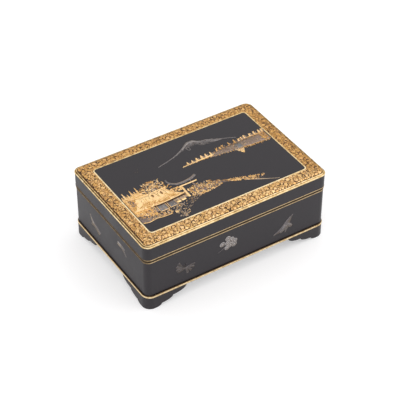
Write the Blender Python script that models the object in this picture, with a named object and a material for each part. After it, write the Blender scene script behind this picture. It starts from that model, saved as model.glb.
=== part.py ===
"""An inlaid iron box: a lift-off lid, a hollow box and a plinth on four bracket feet.

Units are metres, +Z is up. The origin is the middle of the box, on the surface it stands on.
The long side with the three motifs faces -Y.

Almost every piece is a section carried round a rounded rectangle. A section is a list of
(inset, height) pairs: how far in from the lid's outer wall, and how high above the table.
"""

import math

import bmesh
import bpy

# Overall plan of the lid's outer wall, which every inset is measured from
LID_LENGTH = 0.125
LID_WIDTH = 0.084

# Heights of the lid, of the box and of the gap between two feet
LID_HEIGHT = 0.0123
BOX_HEIGHT = 0.0259
FOOT_GAP_HEIGHT = 0.0084

# Iron thicknesses
LID_WALL = 0.0018
LID_PLATE = 0.0020
BOX_WALL = 0.0018
BOX_FLOOR = 0.0018
PLINTH_WALL = 0.0026
INNER_FILLET = 0.0012

# Gaps between pieces: one that rests on the next, the lid's sliding fit, and an inlaid wire's seat
REST_GAP = 0.0003
LID_CLEARANCE = 0.0003
INLAY_GAP = 0.0001

# The box's wall stands a little inside the lid's, and the plinth's a little outside
BOX_INSET = 0.00035
PLINTH_OUTSET = 0.00035

# Corner radii seen from above, each at the outer face of its piece
LID_CORNER = 0.0044
BOX_CORNER = 0.0040
PLINTH_CORNER = 0.0055
PANEL_CORNER = 0.0022
SMALLEST_CORNER = 0.0004
CORNER_STEPS = 8

# The lip inside the box that the lid slides over
LIP_RISE = 0.0035
LIP_WALL = 0.0009
LIP_DROP = 0.0050
LIP_SLOPE = 0.0010

# The gold moulding let into the lid's top edge: two beads, the upper one set back
LOWER_BEAD_RADIUS = 0.0005
UPPER_BEAD_RADIUS = 0.00038
UPPER_BEAD_SETBACK = 0.00078
UPPER_BEAD_LIFT = 0.0007
MOULDING_PROUD = 0.0002
BEAD_STEPS = 6

# The rounded shoulder between the moulding and the flat top
SHOULDER_RISE = 0.0011
SHOULDER_WIDTH = 0.0030
SHOULDER_STEPS = 4

# Inlaid gold wires, and the narrow iron lips left between a wire and the edge beside it
RIM_WIRE_WIDTH = 0.0007
RIM_LIP = 0.00055
PANEL_WIRE_WIDTH = 0.0008
PANEL_WIRE_INSET = 0.0089
PLINTH_WIRE_WIDTH = 0.0010
PLINTH_WIRE_LIP = 0.0002
WIRE_DEPTH = 0.0005
WIRE_PROUD = 0.0001
PLINTH_WIRE_PROUD = 0.0002
WIRE_CROWN_STEPS = 4

# Bracket feet: how far each reaches along its side, and its three lobes as shares of that reach
# and of the gap's height: (start along, end along, start height, end height)
FOOT_REACH = 0.0270
FOOT_LOBES = ((0.24, 0.38, 0.00, 0.22), (0.38, 0.66, 0.22, 0.54), (0.66, 1.00, 0.54, 1.00))
LOBE_STEPS = 6
PAD_CHAMFER = 0.0003

# Levels worked out from the sizes above, from the table upwards
PLINTH_WIRE_OFFSET = PLINTH_WIRE_LIP + INLAY_GAP + PLINTH_WIRE_WIDTH / 2
PLINTH_WIRE_MIDDLE = FOOT_GAP_HEIGHT + PLINTH_WIRE_OFFSET
PLINTH_TOP = PLINTH_WIRE_MIDDLE + PLINTH_WIRE_OFFSET
BOX_BOTTOM = PLINTH_TOP + REST_GAP
BOX_RIM = BOX_BOTTOM + BOX_HEIGHT
LID_RIM = BOX_RIM + REST_GAP
LID_TOP = LID_RIM + LID_HEIGHT
RIM_WIRE_OFFSET = RIM_LIP + INLAY_GAP + RIM_WIRE_WIDTH / 2
SHOULDER_LOW = LID_TOP - SHOULDER_RISE

# Insets worked out from the sizes above
PLINTH_FACE = -PLINTH_OUTSET
LOWER_BEAD_INSET = LOWER_BEAD_RADIUS - MOULDING_PROUD
UPPER_BEAD_INSET = LOWER_BEAD_INSET + UPPER_BEAD_SETBACK
MOULDING_BACK = UPPER_BEAD_INSET + UPPER_BEAD_RADIUS
UPPER_BEAD_MIDDLE = SHOULDER_LOW - UPPER_BEAD_RADIUS / 2
LOWER_BEAD_MIDDLE = UPPER_BEAD_MIDDLE - UPPER_BEAD_LIFT
MOULDING_LOW = LOWER_BEAD_MIDDLE - LOWER_BEAD_RADIUS


def clear_scene():
    for thing in list(bpy.data.objects):
        bpy.data.objects.remove(thing, do_unlink=True)


def metal(name, colour, roughness):
    """A plain metal for one kind of piece."""
    made = bpy.data.materials.new(name)
    made.use_nodes = True
    shader = made.node_tree.nodes["Principled BSDF"]
    shader.inputs["Base Color"].default_value = (*colour, 1.0)
    shader.inputs["Roughness"].default_value = roughness
    shader.inputs["Metallic"].default_value = 1.0
    return made


def link(name, mesh):
    made = bpy.data.objects.new(name, mesh)
    bpy.context.scene.collection.objects.link(made)
    return made


def rounded_rectangle(inset, height, radius):
    """Points anticlockwise round a rounded rectangle that lies inset inside the lid's outer wall."""
    half_x = LID_LENGTH / 2 - inset
    half_y = LID_WIDTH / 2 - inset
    points = []
    for corner, (side_x, side_y) in enumerate(((1, 1), (-1, 1), (-1, -1), (1, -1))):
        centre_x = side_x * (half_x - radius)
        centre_y = side_y * (half_y - radius)
        for step in range(CORNER_STEPS + 1):
            angle = math.radians(90) * (corner + step / CORNER_STEPS)
            x = centre_x + radius * math.cos(angle)
            y = centre_y + radius * math.sin(angle)
            points.append((x, y, height))
    return points


def parallel(section, corner, corner_inset):
    """Adds to each (inset, height) the corner radius that keeps it parallel to a known corner."""
    return [(inset, height, max(corner - (inset - corner_inset), SMALLEST_CORNER)) for inset, height in section]


def swept_body(name, section, material, ring):
    """Carries a section round the rectangle: a ring closes on itself, and anything else is capped at both ends."""
    shape = bmesh.new()
    loops = [[shape.verts.new(point) for point in rounded_rectangle(*level)] for level in section]
    if ring:
        loops.append(loops[0])
    else:
        shape.faces.new(loops[0])
        shape.faces.new(loops[-1])
    for lower, upper in zip(loops, loops[1:]):
        for here in range(len(lower)):
            there = (here + 1) % len(lower)
            shape.faces.new((lower[here], lower[there], upper[there], upper[here]))
    bmesh.ops.recalc_face_normals(shape, faces=shape.faces)
    mesh = bpy.data.meshes.new(name)
    shape.to_mesh(mesh)
    shape.free()
    mesh.shade_smooth()
    mesh.set_sharp_from_angle(angle=math.radians(35))
    mesh.materials.append(material)
    return link(name, mesh)


def wire_crown(width, proud):
    """(across, out) points over a wire's crowned front, which starts and ends a little below the iron."""
    sunk = WIRE_DEPTH / 4
    points = []
    for step in range(WIRE_CROWN_STEPS + 1):
        share = step / WIRE_CROWN_STEPS
        points.append((width * share, math.sin(math.pi * share) * (proud + sunk) - sunk))
    return points


def wall_wire(name, face, middle, width, proud, corner, material):
    """A wire let into an upright wall: flat at the back, crowned in front."""
    low = middle - width / 2
    section = [(face + WIRE_DEPTH, low + width), (face + WIRE_DEPTH, low)]
    section += [(face - out, low + across) for across, out in wire_crown(width, proud)]
    return swept_body(name, parallel(section, corner, face), material, ring=True)


def wall_groove(face, middle, width):
    """Section, read upwards, of the groove that a wall wire lies in."""
    back = face + WIRE_DEPTH + INLAY_GAP
    low = middle - width / 2 - INLAY_GAP
    high = middle + width / 2 + INLAY_GAP
    return [(face, low), (back, low), (back, high), (face, high)]


def lid(material):
    """A shallow tray upside down, read from the middle of the top outwards, down the wall and up the inside."""
    groove_floor = LID_TOP - WIRE_DEPTH - INLAY_GAP
    groove_inner = PANEL_WIRE_INSET + PANEL_WIRE_WIDTH / 2 + INLAY_GAP
    groove_outer = PANEL_WIRE_INSET - PANEL_WIRE_WIDTH / 2 - INLAY_GAP
    panel = [(groove_inner, LID_TOP), (groove_inner, groove_floor), (groove_outer, groove_floor), (groove_outer, LID_TOP)]
    rebate_back = MOULDING_BACK + INLAY_GAP
    rebate_floor = MOULDING_LOW - INLAY_GAP
    shoulder = []
    for step in range(SHOULDER_STEPS + 1):
        turn = math.radians(90) * (1 - step / SHOULDER_STEPS)
        inset = rebate_back + SHOULDER_WIDTH * (1 - math.cos(turn))
        shoulder.append((inset, SHOULDER_LOW + SHOULDER_RISE * math.sin(turn)))
    wall = [(rebate_back, rebate_floor), (0, rebate_floor)]
    wall += reversed(wall_groove(0, LID_RIM + RIM_WIRE_OFFSET, RIM_WIRE_WIDTH))
    ceiling = LID_TOP - LID_PLATE
    hollow = [(0, LID_RIM), (LID_WALL, LID_RIM), (LID_WALL, ceiling - INNER_FILLET), (LID_WALL + INNER_FILLET, ceiling)]
    section = parallel(panel, PANEL_CORNER, PANEL_WIRE_INSET) + parallel(shoulder + wall + hollow, LID_CORNER, 0)
    return swept_body("lid", section, material, ring=False)


def box(material):
    """The hollow body, read from its underside up the wall, over the lip that rises inside the lid, and down inside."""
    inner = BOX_INSET + BOX_WALL
    lip_outer = LID_WALL + LID_CLEARANCE
    lip_inner = max(lip_outer + LIP_WALL, inner)
    lip_foot = BOX_RIM - LIP_DROP
    floor_top = BOX_BOTTOM + BOX_FLOOR
    wall = [(BOX_INSET, BOX_BOTTOM), *wall_groove(BOX_INSET, BOX_RIM - RIM_WIRE_OFFSET, RIM_WIRE_WIDTH)]
    wall += [(BOX_INSET, BOX_RIM)]
    lip = [(lip_outer, BOX_RIM), (lip_outer, BOX_RIM + LIP_RISE), (lip_inner, BOX_RIM + LIP_RISE), (lip_inner, lip_foot)]
    inside = [(inner, lip_foot - LIP_SLOPE), (inner, floor_top + INNER_FILLET), (inner + INNER_FILLET, floor_top)]
    section = parallel(wall, BOX_CORNER, BOX_INSET) + parallel(lip, LID_CORNER, 0)
    section += parallel(inside, BOX_CORNER, BOX_INSET)
    return swept_body("box", section, material, ring=False)


def foot_gap_cutter(name, side_length):
    """The space between two feet: each end of its outline is a flight of quarter-ellipse lobes, the two mirrored."""
    flight = []
    for start, end, low, high in FOOT_LOBES:
        for step in range(LOBE_STEPS + 1):
            turn = math.radians(90) * step / LOBE_STEPS
            along = FOOT_REACH * (start + (end - start) * math.sin(turn)) - side_length / 2
            height = FOOT_GAP_HEIGHT * (low + (high - low) * (1 - math.cos(turn)))
            if (along, height) not in flight:
                flight.append((along, height))
    below_table = (flight[0][0], -FOOT_GAP_HEIGHT)
    left_half = [below_table, *flight]
    outline = left_half + [(-along, height) for along, height in reversed(left_half)]
    through = LID_LENGTH + LID_WIDTH
    shape = bmesh.new()
    near = shape.faces.new([shape.verts.new((along, -through / 2, height)) for along, height in outline])
    grown = bmesh.ops.extrude_face_region(shape, geom=[near])
    far_points = [item for item in grown["geom"] if isinstance(item, bmesh.types.BMVert)]
    bmesh.ops.translate(shape, verts=far_points, vec=(0, through, 0))
    bmesh.ops.recalc_face_normals(shape, faces=shape.faces)
    mesh = bpy.data.meshes.new(name)
    shape.to_mesh(mesh)
    shape.free()
    cutter = link(name, mesh)
    cutter.hide_render = True
    cutter.display_type = "WIRE"
    return cutter


def plinth(material):
    """A frame under the box, with a groove for its wire, cut into bracket feet from both directions."""
    inner = PLINTH_FACE + PLINTH_WALL
    section = [(inner, 0), (PLINTH_FACE + PAD_CHAMFER, 0), (PLINTH_FACE, PAD_CHAMFER)]
    section += wall_groove(PLINTH_FACE, PLINTH_WIRE_MIDDLE, PLINTH_WIRE_WIDTH)
    section += [(PLINTH_FACE, PLINTH_TOP), (inner, PLINTH_TOP)]
    body = swept_body("plinth", parallel(section, PLINTH_CORNER, PLINTH_FACE), material, ring=True)
    long_gap = foot_gap_cutter("gap_along_length", LID_LENGTH + 2 * PLINTH_OUTSET)
    short_gap = foot_gap_cutter("gap_along_width", LID_WIDTH + 2 * PLINTH_OUTSET)
    short_gap.rotation_euler.z = math.radians(90)
    for cutter in (long_gap, short_gap):
        cut = body.modifiers.new(cutter.name, "BOOLEAN")
        cut.operation = "DIFFERENCE"
        cut.solver = "EXACT"
        cut.object = cutter
    return body


def bead_arc(inset, middle, radius, first, last):
    """Points round a bead, turning from straight down (0 degrees) through outwards (90) to straight up (180)."""
    points = []
    for step in range(BEAD_STEPS + 1):
        turn = math.radians(first + (last - first) * step / BEAD_STEPS)
        points.append((inset - radius * math.sin(turn), middle - radius * math.cos(turn)))
    return points


def edge_moulding(material):
    """The gold moulding in the lid's rebate: a lower bead, then a smaller one set back and higher."""
    section = bead_arc(LOWER_BEAD_INSET, LOWER_BEAD_MIDDLE, LOWER_BEAD_RADIUS, 0, 225)
    section += bead_arc(UPPER_BEAD_INSET, UPPER_BEAD_MIDDLE, UPPER_BEAD_RADIUS, 60, 270)
    section.append((MOULDING_BACK, MOULDING_LOW))
    return swept_body("lid_edge_moulding", parallel(section, LID_CORNER, 0), material, ring=True)


def panel_wire(material):
    """The gold line between the border and the picture: flat below, crowned above."""
    low = LID_TOP - WIRE_DEPTH
    inner = PANEL_WIRE_INSET + PANEL_WIRE_WIDTH / 2
    section = [(inner - PANEL_WIRE_WIDTH, low), (inner, low)]
    section += [(inner - across, LID_TOP + out) for across, out in wire_crown(PANEL_WIRE_WIDTH, WIRE_PROUD)]
    return swept_body("panel_wire", parallel(section, PANEL_CORNER, PANEL_WIRE_INSET), material, ring=True)


def rim_and_plinth_wires(material):
    """The gold lines on both sides of the joint, and the wider one round the plinth."""
    lid_line = LID_RIM + RIM_WIRE_OFFSET
    box_line = BOX_RIM - RIM_WIRE_OFFSET
    wall_wire("lid_rim_wire", 0, lid_line, RIM_WIRE_WIDTH, WIRE_PROUD, LID_CORNER, material)
    wall_wire("box_rim_wire", BOX_INSET, box_line, RIM_WIRE_WIDTH, WIRE_PROUD, BOX_CORNER, material)
    wall_wire(
        "plinth_wire", PLINTH_FACE, PLINTH_WIRE_MIDDLE, PLINTH_WIRE_WIDTH, PLINTH_WIRE_PROUD, PLINTH_CORNER, material
    )


def main():
    clear_scene()
    iron = metal("blackened_iron", (0.035, 0.034, 0.038), 0.45)
    gold = metal("gold_inlay", (0.83, 0.60, 0.26), 0.32)
    lid(iron)
    box(iron)
    plinth(iron)
    edge_moulding(gold)
    panel_wire(gold)
    rim_and_plinth_wires(gold)


main()
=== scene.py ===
# %% [markdown]
# # An inlaid iron box
# The real box is made of blackened iron, let in with gold and silver: a tray-shaped lid, a hollow body and
# a plinth cut into bracket feet. The solids come from the frame. This lesson gives them their finish: soft
# worn edges on the iron, rounded gold lines, a border of gold leaves, a landscape in foil and silver
# butterflies.
#
# All design sizes below are in millimetres, because that is how one would draw such a box.

import bpy
import numpy as np
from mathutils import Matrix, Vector


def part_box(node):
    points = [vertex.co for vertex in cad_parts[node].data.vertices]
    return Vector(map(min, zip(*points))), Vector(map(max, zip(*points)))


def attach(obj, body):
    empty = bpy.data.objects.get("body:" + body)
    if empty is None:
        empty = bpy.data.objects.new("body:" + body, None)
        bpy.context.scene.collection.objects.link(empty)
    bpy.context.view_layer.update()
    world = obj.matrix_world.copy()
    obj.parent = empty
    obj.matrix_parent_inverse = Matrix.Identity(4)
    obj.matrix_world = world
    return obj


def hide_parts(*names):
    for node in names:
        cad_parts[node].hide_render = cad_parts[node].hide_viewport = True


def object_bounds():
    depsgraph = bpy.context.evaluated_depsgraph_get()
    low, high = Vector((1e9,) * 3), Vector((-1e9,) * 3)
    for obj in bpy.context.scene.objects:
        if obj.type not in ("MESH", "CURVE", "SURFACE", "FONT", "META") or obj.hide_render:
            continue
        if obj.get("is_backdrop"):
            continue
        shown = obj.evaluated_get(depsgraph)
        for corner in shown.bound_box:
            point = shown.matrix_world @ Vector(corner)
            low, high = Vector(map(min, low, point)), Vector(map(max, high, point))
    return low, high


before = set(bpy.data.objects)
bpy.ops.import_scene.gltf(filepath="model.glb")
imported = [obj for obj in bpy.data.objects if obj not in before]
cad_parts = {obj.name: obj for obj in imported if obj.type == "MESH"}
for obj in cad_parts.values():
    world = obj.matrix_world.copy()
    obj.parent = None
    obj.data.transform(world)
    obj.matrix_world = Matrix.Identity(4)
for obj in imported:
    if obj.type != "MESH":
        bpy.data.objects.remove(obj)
cad_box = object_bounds()
MM = 0.001
print("solids:", sorted(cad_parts))

# %% [markdown]
# ## Camera
# The camera was found from the straight edges of the box in the photograph: it stands in front of the left
# corner, looks down at about forty degrees and has a long lens, so the sides hardly converge.

# %% Camera
CAMERA_AT = (-0.3495, -0.5491, 0.5750)
CAMERA_AIM = (0.00041, 0.00036, 0.02474)
LENS_MM = 128.2
SENSOR_MM = 36.0

camera_data = bpy.data.cameras.new("camera")
camera_data.lens = LENS_MM
camera_data.sensor_width = SENSOR_MM
camera = bpy.data.objects.new("camera", camera_data)
camera.location = CAMERA_AT
camera.rotation_euler = (Vector(CAMERA_AIM) - Vector(CAMERA_AT)).to_track_quat("-Z", "Y").to_euler()
bpy.context.scene.collection.objects.link(camera)
bpy.context.scene.camera = camera
print("camera at", CAMERA_AT)

# %% [markdown]
# ## Floor and light
# Metal shows what surrounds it more than it shows itself. The box stands on a white table that is lit from
# below as well, under a bright even sky, which gives the iron its soft grey sheen and keeps the shadow
# round the feet faint. One large lamp in front on the right adds a little direction.

# %% Floor and light
FLOOR_SIZE = 8.0
FLOOR_COLOUR = (0.65, 0.645, 0.65, 1.0)
FLOOR_GLOW = 0.41
SKY_COLOUR = (1.0, 1.0, 1.0, 1.0)
SKY_STRENGTH = 1.10
KEY_AT, KEY_AIM = (0.85, -0.55, 1.15), (0, 0, 0.02)
KEY_SIZE, KEY_WATTS, KEY_COLOUR = 1.1, 3.3, (1.0, 0.985, 0.96)


def make_floor():
    """A single square, wide enough to reach past every view."""
    half = FLOOR_SIZE / 2
    corners = [(-half, -half, 0), (half, -half, 0), (half, half, 0), (-half, half, 0)]
    mesh = bpy.data.meshes.new("floor")
    mesh.from_pydata(corners, [], [(0, 1, 2, 3)])
    floor = bpy.data.objects.new("floor", mesh)
    paper = bpy.data.materials.new("light_table")
    paper.use_nodes = True
    shader = paper.node_tree.nodes["Principled BSDF"]
    shader.inputs["Base Color"].default_value = FLOOR_COLOUR
    shader.inputs["Roughness"].default_value = 0.9
    shader.inputs["Emission Color"].default_value = (1.0, 1.0, 1.0, 1.0)
    shader.inputs["Emission Strength"].default_value = FLOOR_GLOW
    mesh.materials.append(paper)
    bpy.context.scene.collection.objects.link(floor)
    floor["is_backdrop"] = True
    return floor


def area_lamp(name, at, aim, size, watts, colour):
    """A square lamp that faces a point."""
    light = bpy.data.lights.new(name, "AREA")
    light.size = size
    light.energy = watts
    light.color = colour
    lamp = bpy.data.objects.new(name, light)
    lamp.location = at
    lamp.rotation_euler = (Vector(aim) - Vector(at)).to_track_quat("-Z", "Y").to_euler()
    bpy.context.scene.collection.objects.link(lamp)
    return lamp


make_floor()
sky = bpy.data.worlds.new("sky")
sky.use_nodes = True
sky.node_tree.nodes["Background"].inputs["Color"].default_value = SKY_COLOUR
sky.node_tree.nodes["Background"].inputs["Strength"].default_value = SKY_STRENGTH
bpy.context.scene.world = sky
bpy.context.scene.view_settings.view_transform = "Standard"
area_lamp("key_lamp", KEY_AT, KEY_AIM, KEY_SIZE, KEY_WATTS, KEY_COLOUR)

# %% [markdown]
# ## Measures
# The looks have to sit on the solids, so the main levels are read from the frame and not typed again. Only
# the small mouldings, which no box can tell, are given here.

# %% Measures
lid_low, lid_high = (np.array(corner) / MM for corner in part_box("lid"))
body_low, body_high = (np.array(corner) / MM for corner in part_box("box"))
plinth_high = np.array(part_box("plinth")[1]) / MM

HALF_X, HALF_Y = lid_high[0], lid_high[1]
LID_TOP, LID_RIM = lid_high[2], lid_low[2]
BODY_LOW, LIP_TOP = body_low[2], body_high[2]
PLINTH_TOP = plinth_high[2]
BODY_INSET = HALF_X - body_high[0]
PLINTH_INSET = HALF_X - plinth_high[0]
REST_GAP = BODY_LOW - PLINTH_TOP
BODY_RIM = LID_RIM - REST_GAP

LID_CORNER, BODY_CORNER, PLINTH_CORNER, PANEL_CORNER = 4.4, 4.0, 5.5, 2.2
SMALLEST_CORNER = 0.4
LID_WALL, LID_PLATE, BODY_WALL, BODY_FLOOR, PLINTH_WALL = 1.8, 2.0, 1.8, 1.8, 2.6
INNER_FILLET, CAP_INSET = 1.2, 7.0
print(f"lid {2 * HALF_X:.1f} x {2 * HALF_Y:.1f} mm, top at {LID_TOP:.2f} mm")

# %% [markdown]
# ## Carrying a section round a rounded rectangle
# The lid, the body, the plinth and every gold line are one shape: a section carried round a rectangle with
# rounded corners. A lathe can't make it and a bevelled curve twists in tight corners, so the points are
# worked out directly: along the four sides they stand at fixed stations, and round each corner they follow
# a quarter circle whose radius belongs to its own loop.

# %% Points round the rectangle
CORNER_STEPS = 14
CORNER_TURNS = np.radians(np.linspace(0, 90, CORNER_STEPS + 1))
CLEAR_OF_CORNER = 13.0


def side_stations(half_length, count):
    """Evenly spaced places along one side, kept clear of its rounded corners."""
    reach = half_length - CLEAR_OF_CORNER
    return np.linspace(-reach, reach, count)


PLAIN_STATIONS = (side_stations(HALF_X, 31), side_stations(HALF_Y, 21))


def loops(insets, radii, stations=PLAIN_STATIONS):
    """Plan points of rounded rectangles, anticlockwise from the back right corner.
    Corner: centre + radius * (cos turn, sin turn), the turn growing by a quarter at each corner.
    Side: the station along the side, and the half width less the inset across it."""
    insets, radii = np.asarray(insets, float), np.asarray(radii, float)
    half_x, half_y = HALF_X - insets, HALF_Y - insets
    parts = []
    for corner, (sign_x, sign_y) in enumerate(((1, 1), (-1, 1), (-1, -1), (1, -1))):
        turns = CORNER_TURNS + np.pi / 2 * corner
        arc_x = (sign_x * (half_x - radii))[:, None] + radii[:, None] * np.cos(turns)
        arc_y = (sign_y * (half_y - radii))[:, None] + radii[:, None] * np.sin(turns)
        long_side = corner % 2 == 0
        onward = -sign_y if long_side else sign_x
        along = onward * stations[corner % 2] + np.zeros((len(insets), 1))
        across = (sign_y * half_y if long_side else sign_x * half_x)[:, None] + np.zeros_like(along)
        side = (along, across) if long_side else (across, along)
        parts += [np.stack((arc_x, arc_y), -1), np.stack(side, -1)]
    return np.concatenate(parts, axis=1)


def corner_radii(insets, corner, corner_inset=0.0):
    """The radius that keeps a loop parallel to a known corner: it shrinks by as much as the loop moves in."""
    return np.maximum(corner - (np.asarray(insets, float) - corner_inset), SMALLEST_CORNER)


LOOP_POINTS = loops([0], [LID_CORNER]).shape[1]
print("points in one loop:", LOOP_POINTS)

# %% [markdown]
# Every mesh here is made in one go from whole arrays. `grid_faces` numbers the four-cornered faces of a
# grid of points, and closes it in either direction where the surface comes back to its start.

# %% From arrays to a mesh


def grid_faces(rows, columns, close_rows, close_columns):
    """Faces (i, j), (i, j+1), (i+1, j+1), (i+1, j) of a grid. A direction that is closed joins its last line
    to its first."""
    i = np.arange(rows if close_rows else rows - 1)[:, None]
    j = np.arange(columns if close_columns else columns - 1)[None, :]
    next_i, next_j = (i + 1) % rows, (j + 1) % columns
    corners = [i * columns + j, i * columns + next_j, next_i * columns + next_j, next_i * columns + j]
    shape = (i.shape[0], j.shape[1])
    return np.stack([np.broadcast_to(corner, shape) for corner in corners], -1).reshape(-1, 4)


def make_piece(name, points_mm, faces, material):
    """Puts points, given in millimetres, and faces into a new object that rides on the part."""
    mesh = bpy.data.meshes.new(name)
    mesh.from_pydata(np.asarray(points_mm, float) * MM, [], faces)
    mesh.shade_smooth()
    mesh.materials.append(material)
    piece = bpy.data.objects.new(name, mesh)
    bpy.context.scene.collection.objects.link(piece)
    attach(piece, "root")
    return piece


def point_values(piece, name, values):
    """Stores one number for each point, for a material to read by this name."""
    layer = piece.data.attributes.new(name, "FLOAT", "POINT")
    layer.data.foreach_set("value", np.asarray(values, np.float32).ravel())


def softened(section, softness, steps=4):
    """Rounds the inner corners of an open section of (inset, height) points. A corner becomes the curve
    (1-t)^2 * start + 2t(1-t) * corner + t^2 * end, and one point more beyond each end keeps flats flat."""
    section, softness = np.asarray(section, float), np.asarray(softness, float)[:, None]
    corner = section[1:-1]
    back, on = section[:-2] - corner, section[2:] - corner
    back_length = np.linalg.norm(back, axis=1, keepdims=True)
    on_length = np.linalg.norm(on, axis=1, keepdims=True)
    trim = np.minimum(softness, 0.3 * np.minimum(back_length, on_length))
    back, on = back / back_length * trim, on / on_length * trim
    t = np.linspace(0, 1, steps + 1)[None, :, None]
    start, end, middle = (corner + back)[:, None], (corner + on)[:, None], corner[:, None]
    curve = (1 - t) ** 2 * start + 2 * t * (1 - t) * middle + t**2 * end
    held = np.concatenate(((corner + back * 1.5)[:, None], curve, (corner + on * 1.5)[:, None]), axis=1)
    return np.concatenate((section[:1], held.reshape(-1, 2), section[-1:]))


def swept(name, section, radii, material, ring, stations=PLAIN_STATIONS, heights=None):
    """Carries a section round the rectangle. The section runs up the outside and in over the top, so that the
    faces point outwards. A ring closes on itself, and anything else gets a cap at both ends.
    heights, where given, holds one height for each section point and each point of the loop."""
    plan = loops(section[:, 0], radii, stations)
    rows, columns = plan.shape[:2]
    z = np.broadcast_to(section[:, 1, None], (rows, columns)) if heights is None else heights
    points = np.concatenate((plan, z[..., None]), -1).reshape(-1, 3)
    faces = grid_faces(rows, columns, ring, True).tolist()
    if not ring:
        last = (rows - 1) * columns
        faces += [list(range(columns))[::-1], list(range(last, last + columns))]
    return make_piece(name, points, faces, material)


print("a grid of 3 x 4 points has", len(grid_faces(3, 4, False, False)), "faces")

# %% [markdown]
# ## Small bricks for finishes
# A finish is a few noises steering colour, gloss and bump. These helpers each add one node, so that the
# finishes below read like recipes. Every pattern reads Object coordinates, which are metres on the box.

# %% Node helpers


def start_finish(name):
    """A new material with its node tree, its shader and its Object coordinates."""
    made = bpy.data.materials.new(name)
    made.use_nodes = True
    tree = made.node_tree
    return made, tree, tree.nodes["Principled BSDF"], tree.nodes.new("ShaderNodeTexCoord").outputs["Object"]


def noise(tree, vector, scale, detail=2.0, roughness=0.55):
    """A noise pattern that reads the given coordinates."""
    node = tree.nodes.new("ShaderNodeTexNoise")
    node.inputs["Scale"].default_value = scale
    node.inputs["Detail"].default_value = detail
    node.inputs["Roughness"].default_value = roughness
    tree.links.new(vector, node.inputs["Vector"])
    return node.outputs["Fac"]


def ramp(tree, value, stops):
    """Turns a number into a colour: stops are (position, colour) pairs."""
    node = tree.nodes.new("ShaderNodeValToRGB")
    elements = node.color_ramp.elements
    while len(elements) < len(stops):
        elements.new(0.5)
    for element, (position, colour) in zip(elements, stops):
        element.position = position
        element.color = (*colour, 1.0)
    tree.links.new(value, node.inputs["Fac"])
    return node.outputs["Color"]


def mix(tree, share, first, second):
    """Mixes two colours, each one a node's output or a plain colour, by a share."""
    node = tree.nodes.new("ShaderNodeMix")
    node.data_type = "RGBA"
    for socket, value in ((node.inputs[0], share), (node.inputs[6], first), (node.inputs[7], second)):
        if isinstance(value, bpy.types.NodeSocket):
            tree.links.new(value, socket)
        else:
            socket.default_value = (*value, 1.0)
    return node.outputs[2]


def arithmetic(tree, operation, first, second):
    """One step of arithmetic on node outputs or plain numbers."""
    node = tree.nodes.new("ShaderNodeMath")
    node.operation = operation
    for socket, value in zip(node.inputs, (first, second)):
        if isinstance(value, bpy.types.NodeSocket):
            tree.links.new(value, socket)
        else:
            socket.default_value = value
    return node.outputs[0]


def spread(tree, value, low, high, from_low=0.0, from_high=1.0):
    """Maps a number from one range to another and stops at its ends."""
    node = tree.nodes.new("ShaderNodeMapRange")
    for name, number in (("From Min", from_low), ("From Max", from_high), ("To Min", low), ("To Max", high)):
        node.inputs[name].default_value = number
    tree.links.new(value, node.inputs["Value"])
    return node.outputs["Result"]


def bump(tree, shader, height, strength, distance_mm):
    """Lets a pattern tilt the surface's shading."""
    node = tree.nodes.new("ShaderNodeBump")
    node.inputs["Strength"].default_value = strength
    node.inputs["Distance"].default_value = distance_mm * MM
    tree.links.new(height, node.inputs["Height"])
    tree.links.new(node.outputs["Normal"], shader.inputs["Normal"])


def stored(tree, name):
    """Reads a number that was stored on the points."""
    node = tree.nodes.new("ShaderNodeAttribute")
    node.attribute_name = name
    return node.outputs["Fac"]


print("node helpers are ready")

# %% [markdown]
# ## Blackened iron
# The iron was browned and oiled to a satin blue-black. It is a thin dark skin over metal: nearly no colour
# of its own, and a soft reflection that gets stronger where one looks along the surface. A dark base with a
# broad highlight does this better than a mirror-like metal. Fine grain and faint clouds keep it from
# looking like plastic, and the worn number, stored on the edges, lets bare metal shine through there.

# %% Iron finish
IRON_DARK, IRON_LIGHT = (0.0075, 0.0050, 0.0082), (0.0130, 0.0092, 0.0128)
IRON_BARE = (0.060, 0.055, 0.052)
RUST_BROWN, DUSTY_BROWN = (0.042, 0.027, 0.013), (0.125, 0.074, 0.034)
IRON_GRAIN = 4200.0


def blackened_iron():
    """Clouds steer colour and gloss, grain the bump, and the worn number times a patchy noise bares metal."""
    made, tree, shader, place = start_finish("blackened_iron")
    clouds = noise(tree, place, 70.0, 5.0)
    grain = noise(tree, place, IRON_GRAIN, 3.0, 0.7)
    skin = ramp(tree, clouds, [(0.32, IRON_DARK), (0.68, IRON_LIGHT)])
    patches = spread(tree, noise(tree, place, 900.0, 3.0), 0.2, 1.0, 0.4, 0.6)
    rub = arithmetic(tree, "MULTIPLY", stored(tree, "worn"), patches)
    tree.links.new(mix(tree, rub, skin, IRON_BARE), shader.inputs["Base Color"])
    tree.links.new(spread(tree, clouds, 0.40, 0.50, 0.3, 0.7), shader.inputs["Roughness"])
    shader.inputs["Metallic"].default_value = 0.0
    shader.inputs["IOR"].default_value = 1.45
    bump(tree, shader, grain, 0.10, 0.02)
    return made


def browned_iron(name, brown):
    """The dull rust that gathers beside the gold lines: the same grain, but brown and hardly glossy."""
    made, tree, shader, place = start_finish(name)
    shader.inputs["Base Color"].default_value = (*brown, 1.0)
    shader.inputs["Specular IOR Level"].default_value = 0.12
    shader.inputs["Roughness"].default_value = 0.5
    bump(tree, shader, noise(tree, place, IRON_GRAIN, 3.0, 0.7), 0.10, 0.02)
    return made


iron = blackened_iron()
rusty_iron, dusty_iron = browned_iron("rusty_iron", RUST_BROWN), browned_iron("dusty_iron", DUSTY_BROWN)
print("made", iron.name + ",", rusty_iron.name, "and", dusty_iron.name)
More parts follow.
